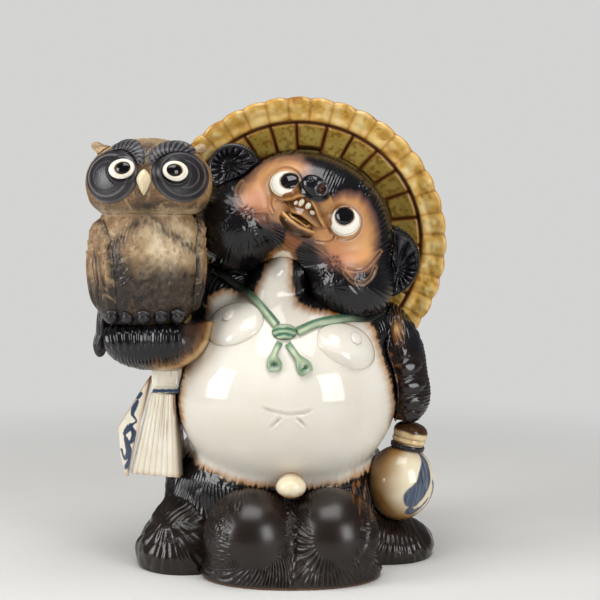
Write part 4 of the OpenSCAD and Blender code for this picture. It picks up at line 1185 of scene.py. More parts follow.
# dark: darker towards the jaw's bottom and along the slit and the chin line; pale: a paler line beside the
# slit, and a painted highlight on the roll under the chin line
def jawPaint(p):
    a, b, slit, chin = jawLines(p)
    low = smoothStep(-2.5, -6.5, b + 1.5 * noise(p, 4))
    return dict(dark=clamp(low * 0.92 + hill(slit, 1.2) + hill(chin, 1.3)),
                pale=clamp(hill(chin - 2.8, 1.3) * (b < 0) * 0.9 + 0.8 * hill(slit - 2.4, 0.9)),
                black=0 * a)


# Distances from the nostrils' middles, as shares of their radii
def nosePits(p):
    q = local(p, headFrame)
    return [np.hypot((q[..., 0] - x) / rx, (q[..., 1] - y) / ry) for x, y, rx, ry in snout["nostrils"]]


snoutGlaze = firedFinish("snoutGlaze", ("#94602F", "#7C4E28"), 12, 0.12, [
    coat("dark", "#2A1810", "#3A2214", 0.12),
    coat("pale", "#D9AC70", "#C4935A", 0.12),
    coat("black", "#0E0D10", "#17151A", 0.1)], peel=(6, 0.06))
noseGlaze = firedFinish("noseGlaze", ("#0D0C10", "#151418"), 14, 0.1, [
    coat("rim", "#56586A", "#6A6A78", 0.1),
    coat("pit", "#6A3E24", "#3A2018", 0.15)], peel=(5, 0.05))
addParts("snoutShell", [lump(muzzleShape, onHead(-9, 20, 86)[0], onHead(-12, 25, 93)[0], 1.4, 220,
                             muzzleHeight, muzzlePaint, 8)], snoutGlaze, "muzzle")
addParts("lowerJaw", [lump(jawShape, onHead(-10, -4, 82)[0], onHead(-10, -4.5, 85)[0], 1.3, 220,
                           jawHeight, jawPaint)], snoutGlaze, "lower_jaw")


def noseHeight(p):
    return sum(-h * hill(d, 0.7) + 0.45 * h * hill(d - 1.3, 0.3) for h, d in zip((3.0, 1.2), nosePits(p)))


# rim: a painted highlight in bluish grey on the raised ring round the larger nostril; pit: brown inside it
def nosePaint(p):
    first = nosePits(p)[0]
    return dict(rim=clamp(hill(first - 1.35, 0.16)) * 0.6, pit=clamp(hill(first, 0.75)))


addParts("noseTip", [lump(noseShape, onHead(-15, 33, 107)[0], onHead(-15, 33, 108)[0], 1.8, 170,
                          noseHeight, nosePaint)], noseGlaze, "nose")


def snoutTop(p):
    return np.minimum(skull(p), muzzleField(p))


def tooth(a, b, rx, ry):
    return sprig(snoutTop, onHead(a, b, 88), lambda t, turn: (
        (1 - t) * oval(rx, ry, turn), dome(t, 2.2) + 0.3 + 0 * turn), 8, 32, lambda x, y: -1.7)


addParts("toothRow", [tooth(*size) for size in snout["teeth"]], creamGlaze, "teeth")

# ears: cups with a rolled rim and radial petals, a tuft at their root
earRows = [(0.45, -12), (0.8, -9), (0.95, -5), (1.0, -1), (1.0, 3), (0.965, 5.6), (0.9, 6.8), (0.83, 6.2),
           (0.76, 4.6), (0.62, 2.4), (0.5, 1.4), (0.38, 0.8), (0.25, 0.3), (0.12, 0.1)]
earGlaze = firedFinish("earGlaze", ("#0F0E12", "#18161A"), 20, 0.12, [
    coat("pale", "#4C4C54", "#5A5860", 0.12),
    coat("deep", "#060507", "#0A090B", 0.3)], peel=(5, 0.08))


def ear(middle, inner, rx, ry, root):
    f = (world(vec(*middle), headFrame), headFrame[1])
    c = world(vec(*inner), f)

    def edge(p):
        cup = less(p, fromBulge(local(p, f), ((0, 0, 0), (rx, ry, 400))), skull, hatShape, trunkShape)
        return np.maximum(cup, seam - fromBulges(p, armParts["flask"], 8))

    s = np.linspace(0, len(earRows) - 1, 90)
    share, height = (np.interp(s, range(len(earRows)), v) for v in zip(*earRows))
    a = np.arange(240) * 2 * np.pi / 240
    d = np.cos(a)[:, None] * f[1][0] + np.sin(a)[:, None] * f[1][1]
    o = c + height[:, None, None] * f[1][2] + 0 * d[None]
    cup = (s > 7)[:, None]
    t = share[:, None]
    petals = np.abs(np.sin(a * 8 + 1.4 * t)) ** 0.7
    lobes = hill(t - 0.62, 0.2) * cup * (petals - 0.3) * 4.6
    towards = np.cos(a - root)
    tuft = smoothStep(0.25, 0.8, towards) * cup * hill(t - 0.45, 0.35)
    tufts = tuft * (2.2 + 3.0 * combed(a * 11 + 0 * t, t * 22 + 0 * a, 2.2, 13, root, 0.8))
    ribs = (~cup) * 0.5 * np.sin(a * 60) * hill(t - 1.0, 0.1)
    edgeAt = leaves(o, np.broadcast_to(d[None], o.shape), edge, 0, 80)
    grid = o + (share[:, None] * edgeAt + ribs)[..., None] * d[None] + (lobes + tufts)[..., None] * f[1][2]
    # pale: painted highlight on the cup's rim and the petals' crests; deep: painted shade in the hollows
    # between the petals
    values = dict(pale=clamp(hill(t - 0.9, 0.06) * cup * 0.5 + 0.3 * petals * hill(t - 0.66, 0.12) * cup),
                  deep=hill(t - 0.55, 0.2) * cup * (1 - petals) * (1 - tuft))
    points, faces = closedGrid(grid, c - 13 * f[1][2], c)
    return points, faces, withPoles(values, *grid.shape[:2])


addParts("earLeft", [ear((-88, 8, 2), (-7, 0, 0), 26, 25, 0.0)], earGlaze, "ear_left")
addParts("earRight", [ear((79, 10, 2), (17, -1, 0), 35, 36, math.pi)], earGlaze, "ear_right")
print("face details ready")


# Hat

hatRelief = dict(columns=780, ribs=84, pull=2.0, fluteDeep=2.7, tiles=28, tileIn=90, tileOut=121,
                 tileHigh=3.4, scallops=40)


# The straw hat's front: a ring of glazed tiles, a step darkened with painted shade, then a fluted brim.
# Heights come from the radius and the turn; the back is ribbed
def makeHat():
    h, r = hatParts, hatRelief
    inner = h["radius"] - h["brim"]
    a = np.arange(r["columns"])[None] * 2 * np.pi / r["columns"]
    back = np.array([0.3, 0.6, 0.8, 0.9, 1.0]) * inner
    rim = [(h["radius"] - 10, 0.3), (h["radius"] - 3, 0.6), (h["radius"] - 0.4, 0.9), (h["radius"], 1.0)]
    radii = np.concatenate([back, [v[0] for v in rim]])[:, None]
    shares = np.concatenate([0 * back, [v[1] for v in rim]])[:, None]
    flute = 1 - np.abs(np.cos(r["scallops"] / 2 * a)) ** 0.75
    ribs = 0.6 * np.sin(a * r["ribs"]) * smoothStep(20, 60, radii)
    fade = 1 - 0.35 * smoothStep(h["radius"] - 3, h["radius"], radii)
    deepBack = -hatFace(np.minimum(radii, h["radius"] - 2)) - h["thick"] * fade + ribs
    inwards = r["pull"] * flute * shares
    pulled = radii - inwards
    behind = np.stack([pulled * np.cos(a), pulled * np.sin(a), deepBack - inwards], -1)
    steps = [h["radius"] - vec(0.3, 0.9), np.linspace(h["radius"] - 1.6, 84, 100), np.linspace(80, 12, 14)]
    radii = np.concatenate(steps)[:, None]
    wander = 0.12 * brushed(3 * np.cos(a), 3 * np.sin(a))
    tileTurn = a / (2 * np.pi) * r["tiles"] + wander + 0 * radii
    across = np.abs(2 * (tileTurn - np.floor(tileTurn)) - 1)
    fromSide = (1 - across) * (math.pi * radii / r["tiles"])
    lane = np.floor(tileTurn)
    tileIn = r["tileIn"] + 3.5 * np.sin(lane * 2.3)
    fromEnd = np.minimum(r["tileOut"] - 1.5 - radii, radii - tileIn)
    corner = -np.log(np.exp(-fromSide * 1.1) + np.exp(-np.clip(fromEnd, -40, 40) * 1.1)) / 1.1
    tile = smoothStep(0.7, 3.2, corner)
    brim = smoothStep(inner, inner + 2.5, radii)
    p = np.stack([radii * np.cos(a), radii * np.sin(a), 0 * a + 0 * radii], -1)
    lumps = noise(p, 9) + 0.6 * noise(p, 4.5, 5.0)
    fluteDeep = flute * r["fluteDeep"] * smoothStep(inner + 1, inner + 12, radii)
    level = -hatFace(radii)
    tiles = (1 - brim) * (r["tileHigh"] * tile ** 0.7 - 1.2 + 0.5 * lumps * tile)
    step = hill(radii - inner - 9, 3) * (1 - flute)
    pads = brim * (lumps + hill(radii - h["radius"] + 5, 5) - step)
    edge = smoothStep(h["radius"], h["radius"] - 2.5, radii)
    height = level - fluteDeep + (tiles + pads) * edge - 1.5 * (1 - edge)
    shrink = r["pull"] * flute * smoothStep(inner + 5, h["radius"], radii)
    ahead = np.stack([(radii - shrink) * np.cos(a), (radii - shrink) * np.sin(a), height], -1)
    grid = world(np.concatenate([behind, ahead]), hatFrame)
    zero = np.zeros(behind.shape[:2])
    hidden = smoothStep(tileIn + 2, tileIn - 1, radii + 0 * a)
    gap = clamp((1 - brim) * (hill(corner - 0.4, 1.9) + 0.12)) * (1 - 0.3 * hidden)
    # Brown in the flute valleys, along the step and in the dips between the lumps is painted shade; a brown
    # band runs round the outer edge
    brownEdgeAndShade = brim * (smoothStep(0.5, 0.95, flute) * 0.5 + hill(radii - h["radius"], 2.0) * 0.5)
    brownEdgeAndShade = brownEdgeAndShade + hill(radii - inner - 1, 1.8) * 0.8 + smoothStep(0.45, 0.9, -lumps) * brim * 0.4
    # The dark layer: painted shade along the step and in the gaps between the tiles, and the head's shadow
    # painted over the crown inside the tiles
    dark = hill(radii - inner + 0.6, 1.1) * 0.9 + 0.9 * hidden
    dark = dark + 0.6 * (1 - brim) * smoothStep(0.7, 0.0, corner)
    blot = 0.85 * smoothStep(0.05, 0.55, noise(p, 2.7, 9.0)) * tile * (1 - brim)
    brimBlot = smoothStep(0.45, 0.8, noise(p, 2.6, 3.0)) * smoothStep(-0.3, 0.4, noise(p, 16, 2.0))
    # The pale layer: painted highlight on the brim's flute crests and lumps
    pale = brim * (1 - flute) * 0.9 * smoothStep(-0.4, 0.5, lumps)
    front = dict(edge=gap, olive=(1 - brim) * tile * 0.9, pale=pale, brownEdgeAndShade=clamp(brownEdgeAndShade), dark=clamp(dark),
                 blot=clamp((blot + 0.8 * brim * brimBlot) * 0.8))
    values = {key: np.concatenate([zero, v + 0 * a]) for key, v in front.items()}
    glaze = firedFinish("hatGlaze", ("#DDB25C", "#D0A24A"), 22, 0.2, [
        coat("olive", "#CDB45E", "#BFA24A", 0.18),
        coat("blot", "#96702A", "#8A5C20", 0.18),
        coat("pale", "#F2DA9C", "#E6C67C", 0.18),
        coat("brownEdgeAndShade", "#A86C30", "#8C5424", 0.2),
        coat("edge", "#7E4A22", "#945C2C", 0.16),
        coat("dark", "#2A1A10", "#3A2414", 0.3)],
        [], peel=(4, 0.12))
    back, middle = (world(vec(0, 0, -h["depth"] - deep), hatFrame) for deep in (h["thick"], 0.5))
    points, faces = closedGrid(grid, back, middle)
    parts = [(points, faces, withPoles(values, *grid.shape[:2]))]
    return addParts("strawHat", parts, glaze, "hat")


makeHat()
print("hat ready")


# Arms


def owlArmHeight(p):
    x, y, z = np.moveaxis(p, -1, 0)
    mitt = smoothStep(-94, -99, x) * (y < -40)
    ridges = 0.5 + 0.5 * np.cos((x + 0.1 * (z - 210) + 1.2 * noise(p, 13)) * 2 * np.pi / 6.6)
    fur = combed(x * 0.9 + z * 0.4, z - 0.4 * x, 3.4, 20, 4.0, 0.7)
    hang = combed(x, z, 3.2, 18, 5.0, 0.7) * smoothStep(206, 198, z)
    cuff = combed(np.arctan2(z - 232, x + 96) * 30, np.hypot(x + 96, z - 232), 2.2, 30, 1.0, 0.4)
    cuffIn = smoothStep(-97, -91, x) * smoothStep(-72, -76, x) * smoothStep(232, 226, z) * (y < -50)
    knuckles = 1.6 * hill(z - 222, 7) * mitt
    hand = 1.9 * (ridges - 0.3) * smoothStep(203, 214, z) + hang
    sleeve = 1.6 * (fur - 0.5) * (1 - cuffIn) + 0.5 * cuffIn * cuff
    return (mitt * hand + (1 - mitt) * sleeve + knuckles) * smoothStep(229, 225.5, z)


def owlArmPaint(p):
    x, y, z = np.moveaxis(p, -1, 0)
    rim, run = fromLine(x, z, [(-72, 228), (-74, 214), (-84, 200), (-100, 190), (-118, 188)])
    front = y < -45
    cuffIn = smoothStep(-97, -91, x) * smoothStep(232, 226, z) * front
    strokes = brushed(x / 1.5, z / 9)
    amber = hill(rim, 6.5 + 2 * strokes) * front * (0.75 + 0.4 * strokes)
    return dict(cuff=clamp(cuffIn * (0.85 + 0.3 * strokes)), amber=clamp(amber),
                cream=hill(rim, 2.6) * front * 0.65)


armGlaze = firedFinish("armGlaze", ("#0A090C", "#131115"), 24, 0.17, [
    coat("cuff", "#2E2018", "#3C2A1E", 0.35),
    coat("amber", "#9A6834", "#7A4C26", 0.2),
    coat("cream", "#D8BC8C", "#C49C60", 0.15)], peel=(5, 0.08))
owlArm = lump(owlArmShape, (-126, -74, 209), (-88, -30, 228), 1.3, 320, owlArmHeight, owlArmPaint, 24)
addParts("owlArm", [owlArm], armGlaze, "owl_arm")

# flask arm: a tufted shoulder, a leaf-shaped hollow, and a clenched paw of rounded knuckles
paw = dict(knuckles=[((113, 186.5), 14, 3.4), ((115, 169), 15, 3.8), ((116, 152), 13.5, 3.6),
                     ((115, 137), 10, 2.8), ((107, 201), 6, 2.6)],
           leaf=(103, 219))


def flaskArmHeight(p):
    x, y, z = np.moveaxis(p, -1, 0)
    front = smoothStep(-8, -20, y)
    fur = combed(x + 0.18 * z, z, 3.3, 22, 2.0, 0.6)
    high = smoothStep(200, 208, z)
    height = high * (fur - 0.5) * 1.2 + 1.3 * front * smoothStep(100, 107, x)
    for (kx, kz), size, tall in paw["knuckles"]:
        away = np.hypot((x - kx) / size, (z - kz - 0.12 * (x - kx)) / 7.5)
        height = height + front * tall * (clamp(1 - away ** 2) ** 0.5 * 0.85 - 0.2)
        side, other = hill(np.hypot(x - kx + 6, z - kz), 4), hill(np.hypot(x - kx - 6, z - kz), 3.5)
        height = height + front * (0.9 * side + 0.7 * other)
    outer = smoothStep(116, 124, x) * (1 - high)
    height = height + outer * 0.9 * (combed(z, x, 3.4, 60, 1.0, 0.2) - 0.5)
    lx, lz = paw["leaf"]
    away = np.sqrt(((x - lx) / 5.5) ** 2 + ((z - lz) / 12) ** 2)
    height = height + front * (1.6 * hill(away - 1.15, 0.3) - 2.0 * hill(away, 0.7))
    return height


def flaskArmPaint(p):
    x, y, z = np.moveaxis(p, -1, 0)
    lx, lz = paw["leaf"]
    away = np.sqrt(((x - lx) / 5.5) ** 2 + ((z - lz) / 12) ** 2)
    front = smoothStep(-8, -20, y)
    spots = smoothStep(0.1, 0.55, noise(p, 5.5)) * smoothStep(108, 96, x) * smoothStep(206, 196, z)
    knuckle = sum(hill(np.hypot((x - kx) / s, (z - kz) / 7.5), 0.8)
                  for (kx, kz), s, tall in paw["knuckles"])
    return dict(cuff=0.35 * smoothStep(205, 190, z) * (1 - clamp(knuckle)),
                amber=clamp(front * (0.9 * hill(away, 0.9) + spots * 0.9)),
                cream=front * clamp(0.8 * hill(away - 0.2, 0.35) * smoothStep(lz - 6, lz + 6, z)))


flaskArm = lump(flaskArmShape, (112, -36, 152), (109, -18, 208), 1.3, 320, flaskArmHeight, flaskArmPaint, 50)
addParts("flaskArm", [flaskArm], armGlaze, "flask_arm")
tailGlaze = firedFinish("tailGlaze", ("#0E0D11", "#171519"), 24, 0.14, [], peel=(5, 0.08))


def tailAt(t, a):
    strokes = combed((1 - t) * 26 * np.cos(a), (1 - t) * 40 * np.sin(a), 3.6, 22)
    return (1 - t) * oval(26, 40, a), dome(t, 12) + 1.0 + 1.3 * (strokes - 0.5) * smoothStep(0, 0.1, t)


tail = sprig(trunkShape, facing((16, 92, 60), (0, 1, 0)), tailAt, 40, 140, lambda x, y: seam)
addParts("tailRelief", [tail], tailGlaze, "tail")
print("arms ready")


# Flask


# Brushed blue strokes over cream, amber towards the top, and painted shade in amber and dark brown at
# the bottom and on the side towards the trunk: u is millimetres round the girth from the viewer's right, z up
def flaskPaint(q):
    x, y, z = np.moveaxis(q, -1, 0)
    turn = np.degrees(np.arctan2(-y, x))
    u = np.radians(np.where(turn < -90, turn + 360, turn)) * flaskParts["radius"]
    girth = flaskParts["radius"] * np.sqrt(clamp(1 - (z / flaskParts["halfHeight"]) ** 2))
    outer = np.hypot(x, y) > 0.86 * girth
    wave, run = fromLine(u, z, curve([(22, 27), (27, 18), (32, 5), (39, -6)], 16).tolist())
    width = 6.6 + 2.6 * smoothStep(0, 14, run) + 0.8 * smoothStep(24, 34, run)
    rough = 0.7 * brushed(u / 5, z / 5)
    first = smoothStep(0.8, -0.8, wave - width + rough)
    wave, run = fromLine(u, z, curve([(38, -20), (31, -21), (24, -15), (19, -6)], 16).tolist())
    second = smoothStep(0.8, -0.8, wave - 4.4 + 0.14 * run + rough)
    wave, run = fromLine(u, z, curve([(15, 10), (11, 2), (12, -10), (18, -19)], 16).tolist())
    third = smoothStep(0.7, -0.7, wave - 1.2 - 2.6 * hill(run - 12, 9) + rough * 0.5)
    blue = clamp(first + second + third) * outer
    # low, left and dark: painted shade at the bottom and on the side towards the trunk
    low = smoothStep(-8, -30, z + 3 * noise(q, 14) - 0.12 * (u - 50))
    left = smoothStep(50, 78, u + 3 * noise(q, 12))
    dark = smoothStep(-26, -36, z) * 0.85 + 0.75 * smoothStep(72, 98, u + 3 * noise(q, 12))
    return dict(blue=blue * (0.93 + 0.12 * brushed(u * 1.2, z / 8)),
                amber=clamp(low + 0.95 * left + 0.35 * smoothStep(24, 34, z)),
                dark=clamp(dark + 0.4 * left * low))


# Points (radius, height) on an ellipse's arc between two turns in degrees
def arcPoints(rx, rz, start, end, count):
    turns = np.radians(np.linspace(start, end, count))
    return list(zip(rx * np.cos(turns), rz * np.sin(turns)))


radius, half, wall = flaskParts["radius"], flaskParts["halfHeight"], flaskParts["wall"]
neckAt = math.degrees(math.acos(flaskParts["neck"] / radius))
bulb = arcPoints(radius, half, -90, neckAt, 110)
hollow = arcPoints(radius - wall, half - wall, 62, -90, 24)
mouth = [(14, 38), (13.4, 39), (10, 39), (9, 38)]
flaskProfile = [(0, -half), *bulb[1:], *mouth, *hollow[:-1], (0, wall - half)]
flaskGlaze = firedFinish("flaskGlaze", ("#E2D6BC", "#D6C8A8"), 30, 0.08, [
    coat("amber", "#A8824E", "#946A38", 0.09),
    coat("blue", "#26384F", "#35496A", 0.1),
    coat("dark", "#4A3420", "#38281C", 0.1)], peel=(7, 0.05))
flaskBody = turned(flaskProfile, 260, flaskFrame, flaskPaint)
addParts("flaskBody", [flaskBody], flaskGlaze, "flask_body")
bandProfile = [(14.25, 33.4), (15.6, 33.2), (16.35, 33.9), (16.0, 35.1), (16.5, 36.2), (16.2, 37.4),
               (15.4, 37.95), (14.25, 37.9)]


# A ring from a closed (radius, height) outline, joined into itself
def ring(profile, columns, f):
    r, h = np.array(profile, float).T
    a = np.arange(columns) * 2 * np.pi / columns
    grid = world(np.stack([r[:, None] * np.cos(a), r[:, None] * np.sin(a), h[:, None] + 0 * a], -1), f)
    rows = len(r)
    faces = quads(rows, columns)
    j = np.arange(columns)
    k, last = (j + 1) % columns, (rows - 1) * columns
    faces += np.stack([last + j, last + k, k, j], -1).tolist()
    return grid.reshape(-1, 3), faces, {}


bandGlaze = firedFinish("bandGlaze", ("#17151A", "#201D22"), 12, 0.1, [], peel=(4, 0.05))
addParts("flaskBand", [ring(bandProfile, 120, flaskFrame)], bandGlaze, "flask_band")
collarLine = np.array([(0, 39.5), (15.2, 39.6), (16.2, 41.2), (15.6, 44), (15.8, 46), (16.4, 48.5),
                       (16.2, 51.5), (14.6, 54.5), (11.5, 57), (7, 58.5), (0, 59)])
steps = np.linspace(0, len(collarLine) - 1, 60)
collarProfile = np.stack([np.interp(steps, range(len(collarLine)), side) for side in collarLine.T], -1)
collarGlaze = firedFinish("collarGlaze", ("#E2CFA6", "#CFB07A"), 9, 0.1, [
    coat("brown", "#3C2618", "#50331F", 0.1)], peel=(5, 0.05))


def collarPaint(q):
    top = smoothStep(48.5, 51.5, q[..., 2] + 1.5 * noise(q, 6))
    return dict(brown=clamp(top + hill(q[..., 2] - 44.5, 1.0) * 0.5))


addParts("flaskCollar", [turned(collarProfile, 140, flaskFrame, collarPaint)], collarGlaze, "flask_collar")
print("flask ready")


# Ledger

ledger = dict(cover=[(-156, -47, 81), (-131, -57, 178), (-167, -20, 122), (-164, -20, 98)], coverThick=5,
              foot=83, high=78, wide=48, ribs=8, tag=(-113, -52, 161.4), tagHigh=24,
              strokes=[([(-143, 152), (-149, 140), (-144, 134), (-151, 128)], 1.5),
                       ([(-151, 128), (-146, 120), (-152, 112), (-158, 118), (-152, 126)], 1.9),
                       ([(-156, 114), (-152, 104), (-157, 96), (-161, 102)], 2.3),
                       ([(-152, 104), (-150, 96), (-155, 89)], 2.0), ([(-139, 160), (-143, 156)], 1.4)])
paperLayers = [coat("amber", "#A87840", "#8C5C2C", 0.12),
               coat("blue", "#26344A", "#34465E", 0.12),
               coat("brown", "#4C3624", "#3C2A1E", 0.2)]
paperGlaze = firedFinish("paperGlaze", ("#E8E1D2", "#DED5C0"), 24, 0.1, paperLayers, peel=(6, 0.06))


# Cover: a slanting sheet between its four corners, with brushed loops of a plain made-up pattern
def makeCover():
    d, a, b, c = (vec(*v) for v in ledger["cover"])
    n = unit(np.cross(a - d, b - d))
    s, t = np.meshgrid(np.linspace(0, 1, 150), np.linspace(0, 1, 60), indexing="ij")
    s, t = s[..., None], t[..., None]
    flat = (d + (a - d) * s) * (1 - t) + (c + (b - c) * s) * t
    edge = np.minimum(np.minimum(s, 1 - s) * 90, np.minimum(t, 1 - t) * 36)
    up = -1.3 * (1 - smoothStep(0, 2.2, edge)) - 0.2
    top = flat + up * n
    bottom = flat - (ledger["coverThick"] - 0.2) * n
    rows, cols = s.shape[:2]
    points = np.concatenate([top.reshape(-1, 3), bottom[[0, -1]][:, [0, -1]].reshape(-1, 3)])
    faces = quads(rows, cols, 0, False)
    m = rows * cols
    last = (rows - 1) * cols
    faces.append((m, m + 1, m + 3, m + 2))
    faces.append([*range(cols)][::-1] + [m, m + 1])
    faces.append([last + j for j in range(cols)] + [m + 3, m + 2])
    faces.append([i * cols for i in range(rows)] + [m + 2, m])
    faces.append([i * cols + cols - 1 for i in range(rows)][::-1] + [m + 1, m + 3])
    x, z = top[..., 0], top[..., 2]
    blue = 0
    for line, half in ledger["strokes"]:
        far, run = fromLine(x, z, curve(line, 14).tolist())
        reach = 1.55 * half * (0.75 + 0.35 * np.sin(run / 5)) - 0.35 * noise(top, 3)
        blue = np.maximum(blue, smoothStep(0.5, -0.5, far - reach))
    s, t = s[..., 0], t[..., 0]
    values = dict(blue=blue, amber=hill(s - 1, 0.06) * 0.8 + hill(t, 0.05) * 0.5,
                  brown=hill(s - 1, 0.03) * 0.6 + 0 * x)
    values = {k: np.concatenate([clamp(v).ravel(), np.zeros(4)]) for k, v in values.items()}
    return addParts("ledgerCover", [(points, faces, values)], paperGlaze, "ledger_cover")


makeCover()


# Pages: a fanned block of ribs between the cover and the trunk, drawn in against the trunk's side
def makePages():
    g = ledger
    d, a, b, c = (vec(*v) for v in g["cover"])
    inward = -(g["coverThick"] + seam) * unit(np.cross(a - d, b - d))
    mix = lambda p, q, t: vec(*p) + (vec(*q) - vec(*p)) * t
    rings, shade = [], []
    for t in np.linspace(0, 1, 60):
        z = g["foot"] + g["high"] * t
        s = (z - d[2]) / (a[2] - d[2])
        fl = mix(d, a, s) + inward + vec(1, 0, 0)
        fl[2] = z
        bl = fl + mix((2, 26, 0), (3, 18, 0), t)
        fr = vec(fl[0] + g["wide"] * (1 - t) + 24 * t, -66 + 2 * t, z)
        br = fr + mix((4, 34, 0), (2, 22, 0), t)
        u = np.linspace(0, 1, 161)[:, None]
        ribs = np.abs(np.sin(u * g["ribs"] * np.pi)) ** 0.6
        row = fl + (fr - fl) * u + vec(0, 1, 0) * (1 - ribs) * (1 - 0.35 * t)
        row = row + vec(0, 0.3, 0) * np.sin(u * 9 + 5 * t)
        row = np.concatenate([row, mix(fr, br, 0.5)[None], br[None], mix(br, bl, 0.5)[None], bl[None]])
        rings.append(row)
        shade.append(np.concatenate([ribs[:, 0], np.zeros(4)]))
    grid = np.array(rings)
    shade = np.array(shade)
    o = np.stack([0 * grid[..., 0] - 10, grid[..., 1], grid[..., 2]], -1)
    side = -leaves(o, vec(-1, 0, 0), trunkShape, 0, 170) - 10
    grid[..., 0] = np.minimum(grid[..., 0], side - seam)
    t = np.linspace(0, 1, 60)[:, None]
    x = np.linspace(0, 1, grid.shape[1])[None]
    drip = smoothStep(0.25, 0.6, brushed(x * 26, t * 2.0))
    drip = drip * smoothStep(0.35, 0.6, x) * smoothStep(0.3, 0.7, t)
    # The first amber term is painted shade between the ribs; the others are amber drips and amber at the
    # right edge and along the bottom
    amber = 0.10 * (1 - shade) + drip * 0.75 + 0.4 * hill(x - 0.93, 0.06) + 0.3 * hill(t, 0.04)
    brown = 0.6 * hill(x - 0.97, 0.03) + drip * 0.25 + 0 * shade
    values = dict(amber=clamp(amber), blue=0 * shade, brown=clamp(brown))
    points, faces = closedGrid(grid, grid[0].mean(0), grid[-1].mean(0))
    parts = [(points, faces, withPoles(values, *grid.shape[:2]))]
    return addParts("ledgerPages", parts, paperGlaze, "ledger_pages")


makePages()


def tagShape(p):
    q = p - vec(*ledger["tag"]) - vec(0, 0, ledger["tagHigh"])
    return less(p, fromBlock(q, (15, 10, ledger["tagHigh"]), 3), trunkShape, owlArmShape)


def tagPaint(p):
    x, z = p[..., 0], p[..., 2]
    drip = smoothStep(0.15, 0.5, brushed(x / 2.2, z / 14)) * smoothStep(-112, -106, x)
    amber = clamp(drip + 0.7 * smoothStep(182, 187, z))
    return dict(amber=amber, blue=0 * x, brown=0.7 * smoothStep(184, 190, z))


# A raised frame round a sunk panel on the tag's front
def tagHeight(p):
    away = np.maximum(np.abs(p[..., 0] + 113) / 9.5, np.abs(p[..., 2] - 176) / 6.5)
    return 0.9 * hill(away - 1, 0.16) * (p[..., 1] < -55)


tag = lump(tagShape, (-113, -52, 170), (-113, -52, 174), 1.8, 200, tagHeight, tagPaint, 6)
addParts("ledgerTag", [tag], paperGlaze, "ledger_tag")
cordBlue = firedFinish("cordBlue", ("#2E3E56", "#3C4E6A"), 8, 0.12, [], peel=(3, 0.08))
tieFrame = (vec(-114, -63.6, 164.4), np.array([[0, 1, 0], [0, 0, 1], [1, 0, 0]], float))
tieHalf, tieRound = 11.4, [math.radians(t) for t in range(0, 91, 15)]
tieLeft = [(1.7 * math.sin(t) + 0.12, -tieHalf - 1.6 * math.cos(t)) for t in tieRound[1:]]
tieBar = [(1.6 + 0.2 * math.sin(s), s - tieHalf) for s in np.linspace(1, 21.8, 24)]
tieRight = [(1.7 * math.cos(t) + 0.12, tieHalf + 1.6 * math.sin(t)) for t in tieRound[:-1]]
tieProfile = [(0, -13), *tieLeft, *tieBar, *tieRight, (0, 13.1)]
addParts("ledgerTie", [turned(tieProfile, 32, tieFrame)], cordBlue, "ledger_tie")
print("ledger ready")


# Owl

owlLayers = [coat("pale", "#D6C3A2", "#BEA47C", 0.36),
             coat("dark", "#17110E", "#241A15", 0.26),
             coat("scratch", "#CDB48E", "#B89C74", 0.45),
             coat("pit", "#3A281C", "#2C201A", 0.6)]
owlClay = firedFinish("owlClay", ("#9A7850", "#7A5838"), 16, 0.4, owlLayers,
                      [("#4A3220", 2.6, 0.5, 0.55), ("#3A281A", 1.1, 0.45, 0.6),
                       ("#B89A70", 1.8, 0.45, 0.4)], (1.4, 0.5),
                      [("#4A3220", (1.0, 1.0, 0.22), 5.0, 0.012, 0.8, 0.6),
                       ("#C4A880", (1.0, 1.0, 0.25), 6.0, 0.012, 0.65, -0.5),
                       ("#3C2A1C", (1.0, 1.0, 0.3), 9.0, 0.01, 0.8, -1.1)])


# Scratches in the leather-hard clay: short grooves in three slants that come and go
def scratched(p):
    x, z = p[..., 0], p[..., 2]
    total = 0
    for k, way in enumerate((0.55, -0.7, 1.6)):
        u, v = x * math.cos(way) + z * math.sin(way), -x * math.sin(way) + z * math.cos(way)
        line = brushed(u / 3.1, v / 19, k, k * 3.7)
        total = total + hill(line, 0.07) * smoothStep(0.05, 0.3, noise(p, 12, k * 5.1))
    return clamp(total)


# Where the feathers under the beak spread over the breast, as a V round the body's middle
def owlCollar(x, y, z):
    return hill(z - 326 + 0.75 * np.abs(x + 124), 7) * (y < -80)


def owlPaint(p):
    x, y, z = np.moveaxis(p, -1, 0)
    low = smoothStep(299, 272, z + 7 * noise(p, 22) + 4 * noise(p, 4) + 0.12 * (x + 120))
    # A band of painted shade along the left wing's inner edge
    wing = hill(x + 152, 6) * smoothStep(318, 300, z) * 0.5
    collar = owlCollar(x, y, z) * (0.35 + 0.5 * smoothStep(-0.2, 0.2, noise(p, 3.5)))
    # pale: a painted highlight over the belly
    pale = hill(np.hypot(x + 108, (z - 298) * 0.8), 27) * (0.9 + 0.6 * noise(p, 5))
    pit = smoothStep(0.5, 0.8, noise(p, 2.4)) * (1 - low) * 0.5
    return dict(pale=clamp(pale), dark=clamp(low * (0.93 + 0.12 * noise(p, 3)) + wing + collar) * 0.98,
                scratch=scratched(p) * (1 - low) * 0.7, pit=pit)


# Scratches and dents, a combed collar, and a crease where the head sits
def owlHeight(p):
    x, y, z = np.moveaxis(p, -1, 0)
    comb = combed(x + z * 0.2 * np.sign(x + 124), z, 3.4, 14) - 0.5
    height = -0.9 * scratched(p) + 0.35 * noise(p, 5) + owlCollar(x, y, z) * 1.2 * comb
    return height * smoothStep(229.4, 234, z) * smoothStep(327.7, 325, z) - 3.4 * hill(z - 329, 9)


